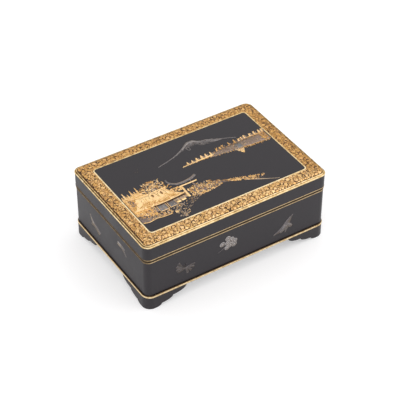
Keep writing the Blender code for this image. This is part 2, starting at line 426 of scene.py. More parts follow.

# %% [markdown]
# ## Gold wire
# Fine gold, burnished and then handled for a century: a warm metal with small changes of brightness along
# its length. The dull number is painted shade for each side of the box, from 0 to 1, darkening it to brown.
# Where hands rubbed it thin the dark ground shows through in patches, and the worn number says how much.

# %% Gold wire finish
WIRE_GROUND = (0.11, 0.075, 0.055)
EDGE_TINT = (0.95, 0.78, 0.50, 1.0)


def rubbed_share(tree, place, scale):
    """How much ground shows: the worn number less a patchy noise, made steep."""
    patches = spread(tree, noise(tree, place, scale, 3.0), 0.0, 1.0, 0.3, 0.7)
    gap = arithmetic(tree, "SUBTRACT", stored(tree, "worn"), patches)
    return spread(tree, gap, 0.0, 1.0, -0.15, 0.15)


def gold_wire(name, brown, deep, light):
    """The colour runs from brown through deep to light gold: place in it = 1 - dull + a small noise.
    Dull is painted shade, set for each side of the box.
    """
    made, tree, shader, place = start_finish(name)
    drift = spread(tree, noise(tree, place, 420.0, 3.0), -0.32, 0.12, 0.35, 0.6)
    bright = arithmetic(tree, "SUBTRACT", 1.0, stored(tree, "dull"))
    colour = ramp(tree, arithmetic(tree, "ADD", bright, drift), [(0.0, brown), (0.55, deep), (1.0, light)])
    scuffs = noise(tree, place, 3800.0)
    rubbed = rubbed_share(tree, place, 500.0)
    tree.links.new(mix(tree, rubbed, colour, WIRE_GROUND), shader.inputs["Base Color"])
    tree.links.new(spread(tree, scuffs, 0.24, 0.46), shader.inputs["Roughness"])
    shader.inputs["Metallic"].default_value = 1.0
    shader.inputs["Specular Tint"].default_value = EDGE_TINT
    bump(tree, shader, scuffs, 0.25, 0.03)
    return made


bright_wire = gold_wire("gold_wire", (0.20, 0.115, 0.048), (0.72, 0.52, 0.255), (0.95, 0.79, 0.51))
dull_wire = gold_wire("handled_gold_wire", (0.10, 0.07, 0.052), (0.33, 0.235, 0.125), (0.55, 0.41, 0.24))
pale_wire = gold_wire("pale_gold_wire", (0.20, 0.13, 0.07), (0.60, 0.44, 0.23), (0.86, 0.70, 0.45))
print("made", bright_wire.name + ",", dull_wire.name, "and", pale_wire.name)

# %% [markdown]
# ## The lid's iron
# The lid is a tray turned over. Its top is flat in the middle and falls to the rim in a quarter of an
# ellipse, which is what makes the border catch the light differently from the picture. The same formula is
# needed again for every leaf laid on it, so it is a function of the distance from the edge.

# %% The lid's top surface
SHOULDER_RISE, SHOULDER_WIDTH, SHOULDER_START = 1.1, 3.0, 1.56
SHOULDER_LOW = LID_TOP - SHOULDER_RISE
MOULDING_LOW = LID_TOP - 2.49


def outside_by(x, y, inset, radius):
    """How far a plan point lies outside a rounded rectangle, negative inside. Beyond the straight part of a
    side it is the distance to the corner's centre less the radius, and elsewhere that to the nearest side."""
    over_x = np.abs(x) - (HALF_X - inset - radius)
    over_y = np.abs(y) - (HALF_Y - inset - radius)
    corner = np.hypot(np.maximum(over_x, 0), np.maximum(over_y, 0))
    return corner + np.minimum(np.maximum(over_x, over_y), 0) - radius


def top_height(inset):
    """Quarter ellipse: height = low + rise * sin(turn), where cos(turn) = 1 - (inset - start) / width."""
    cosine = np.clip(1 - (np.asarray(inset, float) - SHOULDER_START) / SHOULDER_WIDTH, 0, 1)
    return SHOULDER_LOW + SHOULDER_RISE * np.sqrt(1 - cosine**2)


print("top height at 2, 3 and 5 mm from the edge:", top_height([2, 3, 5]).round(2))

# %% The lid's iron
WEAR_REACH, RIM_WEAR, FOOT_WEAR = 0.5, 0.1, 0.5


def wear_near(section, corners):
    """1 on the worn corners of a section, falling to 0 at WEAR_REACH from them."""
    gap = np.linalg.norm(section[:, None] - np.asarray(corners, float)[None], axis=2).min(axis=1)
    return np.clip(1 - gap / WEAR_REACH, 0, 1)


def lid_iron():
    """Section: the hollow, the wall, the step behind the moulding, the elliptic shoulder and the flat top."""
    ceiling = LID_TOP - LID_PLATE
    hollow = [(LID_WALL + 4.0, ceiling), (LID_WALL, ceiling)]
    wall = [(LID_WALL, LID_RIM), (0, LID_RIM), (0, MOULDING_LOW), (SHOULDER_START, MOULDING_LOW)]
    below = softened(hollow + wall, [INNER_FILLET, 0.18, 0.22, 0.08])
    turns = np.linspace(0, np.pi / 2, 13)
    shoulder_inset = SHOULDER_START + SHOULDER_WIDTH * (1 - np.cos(turns))
    shoulder = np.stack((shoulder_inset, SHOULDER_LOW + SHOULDER_RISE * np.sin(turns)), -1)
    section = np.concatenate((below, shoulder, [(5.0, LID_TOP), (CAP_INSET, LID_TOP)]))
    piece = swept("lid_iron", section, corner_radii(section[:, 0], LID_CORNER), iron, False)
    wear = wear_near(section, [(0, LID_RIM)]) * RIM_WEAR
    point_values(piece, "worn", np.repeat(wear, LOOP_POINTS))
    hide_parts("lid")
    return piece


lid_piece = lid_iron()
print("lid iron faces:", len(lid_piece.data.polygons))

# %% [markdown]
# ## The body
# The body is an empty iron tray. A thin lip stands up inside its rim for the lid to slide over. It is
# hidden while the lid is on, but it gets the same soft edges as the rest.

# %% The body
LIP_INSET, LIP_INNER, LIP_FOOT, LIP_SLOPE = 2.1, 3.0, BODY_RIM - 5.0, 1.0


def body_iron():
    """Section: the underside, the outer wall, over the rim and the lip, and down inside to the floor."""
    floor_top = BODY_LOW + BODY_FLOOR
    inner = BODY_INSET + BODY_WALL
    outside = [(CAP_INSET, BODY_LOW), (BODY_INSET, BODY_LOW), (BODY_INSET, BODY_RIM), (LIP_INSET, BODY_RIM)]
    lip = [(LIP_INSET, LIP_TOP), (LIP_INNER, LIP_TOP), (LIP_INNER, LIP_FOOT), (inner, LIP_FOOT - LIP_SLOPE)]
    inside = [(inner, floor_top), (CAP_INSET, floor_top)]
    section = softened(outside + lip + inside, [0.2, 0.22, 0.08, 0.15, 0.15, 0.1, 0.1, INNER_FILLET])
    radii = corner_radii(section[:, 0], BODY_CORNER, BODY_INSET)
    piece = swept("body_iron", section, radii, iron, False)
    wear = wear_near(section, [(BODY_INSET, BODY_RIM)]) * RIM_WEAR
    point_values(piece, "worn", np.repeat(wear, LOOP_POINTS))
    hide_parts("box")
    return piece


body_piece = body_iron()
print("body iron faces:", len(body_piece.data.polygons))

# %% [markdown]
# ## The plinth and its bracket feet
# The plinth is a frame whose lower edge is sawn into flights of lobes. Cutting it with a Boolean leaves
# ragged faces along the curves. It is cleaner to let the loop's own points stand at the lobes' stations and
# to lift the lower edge there by the lobe formula, so that the whole plinth stays one smooth grid.

# %% The plinth
FOOT_REACH, FOOT_GAP_HEIGHT = 27.0, 8.4
FOOT_LOBES = ((0.24, 0.38, 0.00, 0.22), (0.38, 0.66, 0.22, 0.54), (0.66, 1.00, 0.54, 1.00))
LOBE_STEPS, PLINTH_SOFTNESS = 9, 0.15
PLINTH_LINE = PLINTH_TOP - 0.9


def lobe_flight():
    """Distances from the side's end and heights of the cut. Each lobe is a quarter ellipse:
    along = start + (end - start) * sin(turn), height = low + (high - low) * (1 - cos(turn))."""
    turns = np.linspace(0, np.pi / 2, LOBE_STEPS + 1)
    start, end, low, high = np.asarray(FOOT_LOBES).T[:, :, None]
    along = start + (end - start) * np.sin(turns)
    height = low + (high - low) * (1 - np.cos(turns))
    flight = [np.concatenate((lobes[0], lobes[1, 1:], lobes[2, 1:])) for lobes in (along, height)]
    return FOOT_REACH * flight[0], FOOT_GAP_HEIGHT * flight[1]


def foot_stations(half_length):
    """Stations at every point of a side's two flights and evenly between them, and the cut's height there."""
    along, height = lobe_flight()
    reach = half_length - PLINTH_INSET - along
    between = np.linspace(-reach[-1], reach[-1], 14)[1:-1]
    stations = np.concatenate((-reach, between, reach[::-1]))
    heights = np.concatenate((height, np.full(len(between), FOOT_GAP_HEIGHT), height[::-1]))
    return stations, heights


def plinth_iron():
    """Section: under the edge, up the face, over the top and down the inner wall.
    The lower points carry the cut's height with them, and those above the gap don't."""
    (long_side, long_cut), (short_side, short_cut) = foot_stations(HALF_X), foot_stations(HALF_Y)
    corner = np.zeros(CORNER_STEPS + 1)
    cut = np.concatenate((corner, long_cut, corner, short_cut) * 2)
    inner, soft, face = PLINTH_INSET + PLINTH_WALL, PLINTH_SOFTNESS, PLINTH_INSET
    edge = [(face + 4 * soft, 0), (face + soft, 0), (face + 0.3 * soft, 0.3 * soft)]
    edge += [(face, soft), (face, 3.5 * soft)]
    above = [(face, PLINTH_LINE), (face, PLINTH_TOP), (inner, PLINTH_TOP), (inner, PLINTH_LINE)]
    above = softened(above, [soft, soft])
    section = np.concatenate((edge, above, [(inner, soft), (inner - soft, 0)]))
    follows = np.concatenate((np.ones(len(edge)), np.zeros(len(above)), np.ones(2)))
    heights = section[:, 1, None] + follows[:, None] * cut[None, :]
    radii = corner_radii(section[:, 0], PLINTH_CORNER, PLINTH_INSET)
    piece = swept("plinth_iron", section, radii, iron, True, (long_side, short_side), heights)
    wear = wear_near(section, [(face, 0), (face, PLINTH_TOP)]) * FOOT_WEAR
    point_values(piece, "worn", np.repeat(wear, len(cut)))
    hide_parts("plinth")
    return piece


plinth_piece = plinth_iron()
print("plinth faces:", len(plinth_piece.data.polygons))

# %% [markdown]
# ## Gold lines
# Narrow gold mouldings run round the box. Each is a wire hammered into a groove, so it stands a hair proud
# with a rounded crown. Every line carries painted shade that is set for each side of the box and darkens its
# gold towards brown, most in the groove between the two edge beads. By the joint the gold of the left side
# is rubbed nearly bare, except close to the front corner, where no thumb reaches.

# %% Gold lines
CROWN_STEPS = 8
WIRE_SUNK = 0.35
PANEL_LINE_INSET, PANEL_LINE_WIDTH = 8.9, 0.8
# Painted shade for the front, left, back and right of each line.
LOWER_BEAD_PAINTED_SHADE, UPPER_BEAD_PAINTED_SHADE = (0.28, 0.16, 0.70, 0.75), (0.16, 0.52, 0.76, 0.80)
GROOVE_PAINTED_SHADE, PANEL_LINE_PAINTED_SHADE = (0.46, 1.05, 0.90, 0.85), (0.04, 0.04, 0.42, 0.32)
RIM_LINE_AWAY = 1.0
LID_LINE, BODY_LINE = LID_RIM + RIM_LINE_AWAY, BODY_RIM - RIM_LINE_AWAY


def by_side(x, y, front, left, back, right):
    """Blends the values of the four sides: each counts by exp(-(its distance - the least one) / 2 mm)."""
    away = np.stack((y + HALF_Y, x + HALF_X, HALF_Y - y, HALF_X - x))
    share = np.exp((away.min(0) - away) / 2.0)
    return np.tensordot((front, left, back, right), share, 1) / share.sum(0)


def plan_of(piece):
    """The x and y of every point of a piece, in millimetres."""
    points = np.empty(len(piece.data.vertices) * 3, np.float32)
    piece.data.vertices.foreach_get("co", points)
    return points.reshape(-1, 3).T[:2].astype(float) / MM


def store_painted_shade_and_wear(piece, painted_shades, worn_left=0.0):
    """Stores dull, painted shade for each side, and worn, which grows on the left away from the front corner.
    """
    x, y = plan_of(piece)
    from_front = np.clip((y + HALF_Y - 4.0) / 10.0, 0, 1)
    point_values(piece, "dull", by_side(x, y, *painted_shades))
    point_values(piece, "worn", by_side(x, y, 0, worn_left, 0, 0) * from_front)


def wall_line(name, node, gold, face, middle, width, proud, corner, painted_shades, left_wear):
    """Half an ellipse of the wire's width, standing proud of an upright wall, closed flat behind."""
    turns = np.linspace(0, np.pi, CROWN_STEPS + 1)
    crown = np.stack((face - proud * np.sin(turns), middle - width / 2 * np.cos(turns)), -1)
    back = [(face + WIRE_SUNK, middle + width / 2), (face + WIRE_SUNK, middle - width / 2)]
    section = np.concatenate((crown, back))
    piece = swept(name, section, corner_radii(section[:, 0], corner, face), gold, True)
    store_painted_shade_and_wear(piece, painted_shades, left_wear)
    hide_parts(node)
    return piece


def bead(inset, middle, radius, first, last, steps=10):
    """Arc of a bead, turning from straight down (0 degrees) through outwards (90) to straight up (180)."""
    turns = np.radians(np.linspace(first, last, steps + 1))
    return np.stack((inset - radius * np.sin(turns), middle - radius * np.cos(turns)), -1)


def edge_moulding():
    """Two gold beads on the lid's edge, the upper one smaller and set back, with a groove between darkened by
    painted shade.
    """
    lower, upper = bead(0.30, LID_TOP - 1.99, 0.50, 0, 225), bead(1.08, LID_TOP - 1.29, 0.38, 60, 270)
    section = np.concatenate((lower, upper, [(1.46, MOULDING_LOW)]))
    radii = corner_radii(section[:, 0], LID_CORNER)
    piece = swept("lid_edge_beads", section, radii, bright_wire, True)
    x, y = plan_of(piece)
    rank = np.repeat(np.arange(len(section)), LOOP_POINTS) - len(lower)
    # Each bead takes the painted shade of its side, and the groove between them a darker one.
    dull = np.where(rank < 0, by_side(x, y, *LOWER_BEAD_PAINTED_SHADE), by_side(x, y, *UPPER_BEAD_PAINTED_SHADE))
    point_values(piece, "dull", np.where(np.abs(rank + 0.5) < 3, by_side(x, y, *GROOVE_PAINTED_SHADE), dull))
    point_values(piece, "worn", 0 * dull)
    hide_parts("lid_edge_moulding")
    return piece


def panel_line():
    """The gold line round the picture: half an ellipse standing on the lid's flat top."""
    turns = np.linspace(0, np.pi, CROWN_STEPS + 1)
    half = PANEL_LINE_WIDTH / 2
    crown = np.stack((PANEL_LINE_INSET - half * np.cos(turns), LID_TOP + 0.1 * np.sin(turns)), -1)
    sunk = LID_TOP - WIRE_SUNK
    section = np.concatenate((crown, [(PANEL_LINE_INSET + half, sunk), (PANEL_LINE_INSET - half, sunk)]))
    radii = corner_radii(section[:, 0], PANEL_CORNER, PANEL_LINE_INSET)
    piece = swept("panel_line", section, radii, bright_wire, True)
    store_painted_shade_and_wear(piece, PANEL_LINE_PAINTED_SHADE)
    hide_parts("panel_wire")
    return piece


edge_moulding()
panel_line()
# Painted shade of the rim and plinth lines on the front, left, back and right; on the left of the joint it
# also stands for browned gold.
LID_RIM_PAINTED_SHADE, BODY_RIM_PAINTED_SHADE = (0.0, 0.92, 0.50, 0.35), (0.0, 0.66, 0.50, 0.35)
PLINTH_PAINTED_SHADE = (0.20, 0.05, 0.50, 0.40)
wall_line("lid_rim_line", "lid_rim_wire", dull_wire, 0.0, LID_LINE, 0.52, 0.1, LID_CORNER, LID_RIM_PAINTED_SHADE, 0.4)
wall_line("body_rim_line", "box_rim_wire", dull_wire, BODY_INSET, BODY_LINE, 0.56, 0.1, BODY_CORNER,
          BODY_RIM_PAINTED_SHADE, 0.35)
wall_line("plinth_line", "plinth_wire", pale_wire, PLINTH_INSET, PLINTH_LINE, 1.1, 0.2, PLINTH_CORNER,
          PLINTH_PAINTED_SHADE, 0.0)
print("gold lines are in place")

# %% [markdown]
# ## Rust beside the lines
# Polish and damp gather where lid meets body and where the body stands on the plinth, and the iron there
# has rusted to a dull brown. It could be one more colour of the iron, but rust also loses the gloss, and a
# gloss that changes over one surface doesn't survive an export. So each rusty edge is a skin a few
# hundredths thick. On the plinth's ledge dust has settled too, and makes the brown lighter.

# %% Rust
RUST_PROUD, RUST_SUNK, RUST_REACH, RUST_DEPTH = 0.02, 0.1, 0.5, 0.3


def rusty_edge(name, finish, face, edge, line, softness, corner):
    """A skin from a gold line to the edge and a little over it. The edge may lie above or below the line."""
    way = np.sign(edge - line)
    rim = edge + way * RUST_PROUD
    outside = face - RUST_PROUD
    outer = softened([(outside, line), (outside, rim), (face + RUST_REACH, rim)], [softness])
    behind = edge - way * RUST_DEPTH
    inner = [(face + RUST_REACH, behind), (face + RUST_SUNK, behind), (face + RUST_SUNK, line)]
    section = np.concatenate((outer, inner))
    if way < 0:
        section = section[::-1]
    return swept(name, section, corner_radii(section[:, 0], corner, face), finish, True)


rust = [rusty_edge("lid_rim_rust", rusty_iron, 0.0, LID_RIM, LID_LINE, 0.22, LID_CORNER)]
rust.append(rusty_edge("body_rim_rust", rusty_iron, BODY_INSET, BODY_RIM, BODY_LINE, 0.22, BODY_CORNER))
rust.append(rusty_edge("plinth_top_rust", dusty_iron, PLINTH_INSET, PLINTH_TOP, PLINTH_LINE + 0.2,
                       PLINTH_SOFTNESS, PLINTH_CORNER))
print("rust covers", len(rust), "edges")

# %% [markdown]
# ## Foil plates
# The picture is cut from gold and silver foil and hammered onto the scored iron. A colour pattern in the
# shader would be quicker, but real foil has an edge that catches light, and it has to survive as geometry.
# So each scrap is a closed plate a few hundredths of a millimetre thick that follows the surface below it.
# There are two kinds: plates on a grid for strips and strokes, and discs with a domed middle for leaves and
# dabs.

# %% Placing foil
FOIL_SUNK = 0.12
UP = np.array((0.0, 0.0, 1.0))


def on_lid(plan, lift):
    """The place on the lid's top above a plan point, lifted by the given amount."""
    inset = -outside_by(plan[..., 0], plan[..., 1], 0, LID_CORNER)
    return np.concatenate((plan, (top_height(inset) + lift)[..., None]), -1)


def on_wall(along, outward):
    """Makes the placing function of one wall: along * u + up * v + outward * (the wall's distance + lift)."""
    along, outward = np.asarray(along, float), np.asarray(outward, float)
    distance = abs(outward @ (HALF_X, HALF_Y, 0)) - BODY_INSET

    def place(plan, lift):
        away = (distance + np.broadcast_to(lift, plan.shape[:-1]))[..., None]
        return plan[..., :1] * along + plan[..., 1:] * UP + away * outward

    return place


print("a point on the lid:", on_lid(np.array([[0.0, 0.0]]), np.zeros(1))[0].round(2))

# %% Plates and discs


def plates(grids, place, tone, lift=0.03, crown=0.0):
    """Closed plates from grids of plan points (plates, rows, columns, 2). A clockwise grid is turned round.
    Upper height: lift + crown * sin(pi * share of the way across the rows). The lower side is sunk."""
    grids = np.array(grids, float)
    along = grids[:, :-1, 1:] - grids[:, :-1, :-1]
    across = grids[:, 1:, :-1] - grids[:, :-1, :-1]
    turned = (along[..., 0] * across[..., 1] - along[..., 1] * across[..., 0]).sum((1, 2)) < 0
    grids[turned] = grids[turned][:, :, ::-1]
    count, rows, columns = grids.shape[:3]
    swell = crown * np.sin(np.pi * np.linspace(0, 1, rows))[None, :, None] * np.ones((count, rows, columns))
    upper = place(grids, swell + np.broadcast_to(lift, count)[:, None, None])
    lower = place(grids, np.full(grids.shape[:3], -FOIL_SUNK))
    number = np.arange(rows * columns).reshape(rows, columns)
    edge = np.concatenate((number[0, :-1], number[:-1, -1], number[-1, :0:-1], number[:0:-1, 0]))
    onward, below = np.roll(edge, -1), rows * columns
    cells = grid_faces(rows, columns, False, False)
    walls = np.stack((edge + below, onward + below, onward, edge), -1)
    shape = np.concatenate((cells, cells[:, ::-1] + below, walls))
    starts = np.arange(count)[:, None, None] * 2 * below
    tones = np.repeat(np.broadcast_to(tone, count), 2 * below)
    points = np.stack((upper, lower), 1).reshape(-1, 3)
    return {"points": points, "faces": [(shape + starts).reshape(-1, 4)], "tone": tones, "vein": tones * 0}


def discs(rims, centres, place, tone, lift=0.03, crown=0.04, vein=0.0, ring_share=0.68):
    """Closed domed scraps from outlines (discs, points, 2) round their centres. Heights: -sunk below, lift on
    the rim, lift + 0.8 crown on a ring between rim and centre, lift + crown in the middle."""
    rims, centres = np.array(rims, float), np.asarray(centres, float)[:, None]
    onward = np.roll(rims, -1, axis=1)
    turned = (rims[..., 0] * onward[..., 1] - rims[..., 1] * onward[..., 0]).sum(1) < 0
    rims[turned] = rims[turned][:, ::-1]
    count, sides = rims.shape[:2]
    lift = np.broadcast_to(lift, count)[:, None] * np.ones((1, sides))
    crown = np.broadcast_to(crown, count)[:, None]
    ring = centres + (rims - centres) * ring_share
    levels = [place(rims, lift * 0 - FOIL_SUNK), place(rims, lift), place(ring, lift + 0.8 * crown)]
    levels.append(place(centres, lift[:, :1] + crown))
    here, there, middle = np.arange(sides), np.roll(np.arange(sides), -1), np.full(sides, 3 * sides)
    starts = np.arange(count)[:, None, None] * (3 * sides + 1)
    bands = [np.stack((here + a, there + a, there + a + sides, here + a + sides), -1) for a in (0, sides)]
    fan = np.stack((here + 2 * sides, there + 2 * sides, middle), -1)
    blocks = [np.concatenate(bands), fan, here[None, ::-1]]
    faces = [(block + starts).reshape(-1, block.shape[1]) for block in blocks]
    veins = np.broadcast_to(vein, (count, sides))
    veins = np.concatenate((veins, veins, veins, np.zeros((count, 1))), axis=1).ravel()
    tones = np.repeat(np.broadcast_to(tone, count), 3 * sides + 1)
    return {"points": np.concatenate(levels, 1).reshape(-1, 3), "faces": faces, "tone": tones, "vein": veins}


def foil(name, scraps, material):
    """Joins scraps into one piece: each one's faces are renumbered to follow the points before it."""
    starts = np.cumsum([0] + [len(scrap["points"]) for scrap in scraps[:-1]])
    faces = []
    for scrap, start in zip(scraps, starts):
        for block in scrap["faces"]:
            faces += (block + start).tolist()
    piece = make_piece(name, np.concatenate([scrap["points"] for scrap in scraps]), faces, material)
    for value in ("tone", "vein"):
        point_values(piece, value, np.concatenate([scrap[value] for scrap in scraps]))
    print(f"{name}: {len(faces)} faces")
    return piece


# %% [markdown]
# ## Shapes to cut from foil
# A landscape needs only a few kinds of cut: a stroke along a path, a dab of leaf, a pointed tree, and a
# strip between two edges. They take arrays, so that two hundred strokes are made at once.

# %% Cutting shapes


def at(x, y):
    """Plan points from their x and y, either of which may be one number for all."""
    return np.stack(np.broadcast_arrays(x, y), -1)


def unit(angle):
    """The step of length 1 in a direction, (cos, sin)."""
    return at(np.cos(angle), np.sin(angle))


def smooth_path(points, count):
    """A smooth curve through a few points: between two points it is the cubic whose slope at each is half the
    step from the point before to the point after."""
    points = np.asarray(points, float)
    padded = np.concatenate((2 * points[:1] - points[1:2], points, 2 * points[-1:] - points[-2:-1]))
    t = np.linspace(0, len(points) - 1, count)
    span = np.minimum(t.astype(int), len(points) - 2)
    u = (t - span)[:, None]
    p0, p1, p2, p3 = (padded[span + k] for k in range(4))
    bowed, twisted = 2 * p0 - 5 * p1 + 4 * p2 - p3, 3 * p1 - p0 - 3 * p2 + p3
    return 0.5 * (2 * p1 + (p2 - p0) * u + bowed * u**2 + twisted * u**3)


def level_at(x, points):
    """The height of a smooth outline above each x."""
    curve = smooth_path(points, 120)
    return np.interp(x, curve[:, 0], curve[:, 1])


def thrown_between(count, x_range, low, top):
    """Random places between two outlines, each a list of points."""
    x = rng.uniform(*x_range, count)
    share = rng.uniform(0, 1, count)
    return at(x, level_at(x, low) * (1 - share) + level_at(x, top) * share)


def strokes(paths, widths, place, tone, lift=0.03, crown=0.04):
    """Strokes along paths (strokes, points, 2): each point moves across the path by shares of the width."""
    paths = np.asarray(paths, float)
    along = np.gradient(paths, axis=1)
    along /= np.maximum(np.linalg.norm(along, axis=2, keepdims=True), 1e-9)
    across = at(-along[..., 1], along[..., 0])
    widths = np.broadcast_to(widths, paths.shape[:2])[:, None, :, None]
    shares = np.linspace(-0.5, 0.5, 3)[None, :, None, None]
    return plates(paths[:, None] + across[:, None] * shares * widths, place, tone, lift, crown)


def straight(starts, ends, bend=0.0, count=5):
    """Paths from starts to ends, bowed sideways by a share of their length: bow = 4 t (1 - t)."""
    starts, ends = np.asarray(starts, float), np.asarray(ends, float)
    t = np.linspace(0, 1, count)[None, :, None]
    step = (ends - starts)[:, None]
    sideways = at(-step[..., 1], step[..., 0]) * np.broadcast_to(bend, len(starts))[:, None, None]
    return starts[:, None] + step * t + sideways * 4 * t * (1 - t)


def tapering(count, first, last, points=5):
    """Widths that change evenly from the start of each stroke to its end."""
    t = np.linspace(0, 1, points)[None]
    return np.broadcast_to(first, count)[:, None] * (1 - t) + np.broadcast_to(last, count)[:, None] * t


def dabs(centres, lengths, widths, turns, place, tone, sides=8, lift=0.03, crown=0.04):
    """Small ovals: along = length / 2 * cos(angle), across = width / 2 * sin(angle), turned and moved."""
    centres = np.asarray(centres, float)
    angles = np.linspace(0, 2 * np.pi, sides, endpoint=False)
    along = np.broadcast_to(lengths, len(centres))[:, None] / 2 * np.cos(angles)
    across = np.broadcast_to(widths, len(centres))[:, None] / 2 * np.sin(angles)
    turns = np.broadcast_to(turns, len(centres))[:, None]
    cosine, sine = np.cos(turns), np.sin(turns)
    rims = centres[:, None] + at(along * cosine - across * sine, along * sine + across * cosine)
    return discs(rims, centres, place, tone, lift, crown)


def spires(feet, heights, widths, place, tone, lift=0.05, tiers=3.5, count=15):
    """Pointed trees, t going up: half width = width / 2 * (1 - t)^0.8 * (1 + 0.3 cos(2 pi tiers t)), and
    narrower at the foot by min(1, 0.4 + 6 t)."""
    feet = np.asarray(feet, float)
    t = np.linspace(0, 1, count)
    half = (1 - t) ** 0.8 * (1 + 0.3 * np.cos(2 * np.pi * tiers * t)) * np.minimum(1, 0.4 + 6 * t)
    half = np.broadcast_to(widths, len(feet))[:, None] / 2 * half
    x = feet[:, 0, None, None] + half[:, None] * np.linspace(-1, 1, 3)[None, :, None]
    y = (feet[:, 1, None] + np.broadcast_to(heights, len(feet))[:, None] * t)[:, None]
    return plates(at(x, y), place, tone, lift, 0.05)


def strip(x, lower, upper, place, tone, lift=0.02, rows=4):
    """One plate between a lower and an upper edge, given above each x."""
    share = np.linspace(0, 1, rows)[:, None]
    y = np.asarray(lower) * (1 - share) + np.asarray(upper) * share
    return plates(at(x, y)[None], place, tone, lift)


print("a smooth path from (0, 0) to (2, 0) ends at", smooth_path([(0, 0), (1, 1), (2, 0)], 9)[-1].tolist())

# %% [markdown]
# ## Foil finishes
# Four metals are used: yellow gold, a mauve alloy of copper, silver and gold, dull silver, and silver that
# has gone blue. One recipe makes them all. The tone number picks a shade for each scrap, a fine noise
# tarnishes it, and the vein number darkens the engraved lines of the leaves.

# %% Foil finishes
ENGRAVED = (0.10, 0.045, 0.018)


def beaten_foil(name, stops, blush, low_gloss, high_gloss):
    """The tone plus a fine tarnish picks the shade, patches of blush break it up, and the vein darkens it."""
    made, tree, shader, place = start_finish(name)
    tarnish = spread(tree, noise(tree, place, 1300.0, 3.0), -0.28, 0.22, 0.25, 0.75)
    tone = arithmetic(tree, "ADD", stored(tree, "tone"), tarnish)
    line = spread(tree, stored(tree, "vein"), 0.0, 0.75, 0.62, 0.95)
    patch = spread(tree, noise(tree, place, 650.0, 2.0), 0.0, 0.8, 0.4, 0.65)
    metal = mix(tree, patch, ramp(tree, tone, stops), ramp(tree, tone, blush))
    tree.links.new(mix(tree, line, metal, ENGRAVED), shader.inputs["Base Color"])
    hammer = noise(tree, place, 2600.0, 2.0)
    tree.links.new(spread(tree, hammer, low_gloss, high_gloss, 0.3, 0.7), shader.inputs["Roughness"])
    shader.inputs["Metallic"].default_value = 1.0
    shader.inputs["Specular Tint"].default_value = EDGE_TINT
    bump(tree, shader, hammer, 0.35, 0.03)
    return made


GOLD_SHADES = [(0.0, (0.33, 0.160, 0.045)), (0.45, (0.69, 0.400, 0.130)), (1.0, (0.97, 0.70, 0.35))]
ROSY_SHADES = [(0.0, (0.30, 0.125, 0.050)), (0.45, (0.68, 0.365, 0.155)), (1.0, (0.98, 0.67, 0.39))]
MAUVE_SHADES = [(0.0, (0.13, 0.105, 0.095)), (0.5, (0.29, 0.22, 0.17)), (1.0, (0.54, 0.42, 0.29))]
LILAC_SHADES = [(0.0, (0.13, 0.10, 0.105)), (0.5, (0.27, 0.20, 0.19)), (1.0, (0.50, 0.38, 0.32))]
SILVER_SHADES = [(0.0, (0.07, 0.066, 0.070)), (0.5, (0.192, 0.180, 0.187)), (1.0, (0.42, 0.40, 0.405))]
BROWN_SILVER_SHADES = [(0.0, (0.07, 0.060, 0.060)), (0.5, (0.192, 0.165, 0.163)), (1.0, (0.40, 0.365, 0.35))]
BLUE_SHADES = [(0.0, (0.10, 0.10, 0.105)), (1.0, (0.30, 0.30, 0.31))]
gold_foil = beaten_foil("gold_foil", GOLD_SHADES, ROSY_SHADES, 0.30, 0.46)
mauve_foil = beaten_foil("mauve_foil", MAUVE_SHADES, LILAC_SHADES, 0.36, 0.52)
silver_foil = beaten_foil("silver_foil", SILVER_SHADES, BROWN_SILVER_SHADES, 0.38, 0.54)
blue_foil = beaten_foil("blue_silver_foil", BLUE_SHADES, SILVER_SHADES, 0.34, 0.48)
print("foils:", [foil_metal.name for foil_metal in (gold_foil, mauve_foil, silver_foil, blue_foil)])

# %% [markdown]
# ## The border's ground
# Under the leaves lies a thin skin of golden brown, scored and rusted, which shows as lines between them.
# It follows the shoulder down and turns the picture's rounded corner. A darker brown serves for what is cut
# in, the scrolls of the border and the dark lines of the picture, and for two lines of painted shade inside
# the border's left and back edges.

# %% The border's ground
BAND_OUTER, BAND_INNER = 1.5, PANEL_LINE_INSET - PANEL_LINE_WIDTH / 2 + 0.05
BAND_INNER_CORNER = PANEL_CORNER + PANEL_LINE_WIDTH / 2
TURN_INSET, GROUND_LIFT = 4.6, 0.012


def scored_brown(name, dark, light):
    """Brown rust that one noise drives from dark to light, partly metallic so that it glints a little."""
    made, tree, shader, place = start_finish(name)
    rust = noise(tree, place, 900.0, 4.0)
    tree.links.new(ramp(tree, rust, [(0.35, dark), (0.7, light)]), shader.inputs["Base Color"])
    shader.inputs["Metallic"].default_value = 0.6
    shader.inputs["Roughness"].default_value = 0.5
    bump(tree, shader, rust, 0.5, 0.05)
    return made


def border_ground():
    """A ring whose upper side lies a hair above the lid and whose lower side is sunk into it."""
    insets = np.concatenate((np.linspace(BAND_OUTER, TURN_INSET, 12), np.linspace(5.0, BAND_INNER, 5)))
    upper = at(insets, top_height(insets) + GROUND_LIFT)
    lower = at(insets, top_height(insets) - FOIL_SUNK)
    section = np.concatenate((upper, lower[::-1]))
    turn_in = np.interp(section[:, 0], (TURN_INSET, BAND_INNER), (SMALLEST_CORNER, BAND_INNER_CORNER))
    radii = np.maximum(corner_radii(section[:, 0], LID_CORNER), turn_in)
    return swept("border_ground", section, radii, ground_brown, True)


ground_brown = scored_brown("border_brown", (0.26, 0.125, 0.040), (0.50, 0.28, 0.095))
cut_and_shade_brown = scored_brown("engraved_and_painted_shade_brown", (0.035, 0.015, 0.008), (0.10, 0.045, 0.018))
border_ground()
print("ground between", BAND_OUTER, "and", BAND_INNER, "mm from the edge")

# %% [markdown]
# ## The border's leaves
# The border is packed with five-lobed flowers and smaller leaves, cut so close that only thin lines of the
# ground are left between them. Drawing a thousand leaves by hand is hopeless, and plain random leaves
# overlap. So places are thrown at random where there is room, and each outline is then cut back about
# halfway to every neighbour.

# %% Where the leaves grow
rng = np.random.default_rng(41)
FLOWERS = 96
LEAF_GAPS, EDGE_GAP = (0.0, 0.5), 0.03
LEAF_REACH = 1.3
MIDDLE_INSET, MIDDLE_CORNER = 5.0, 2.4


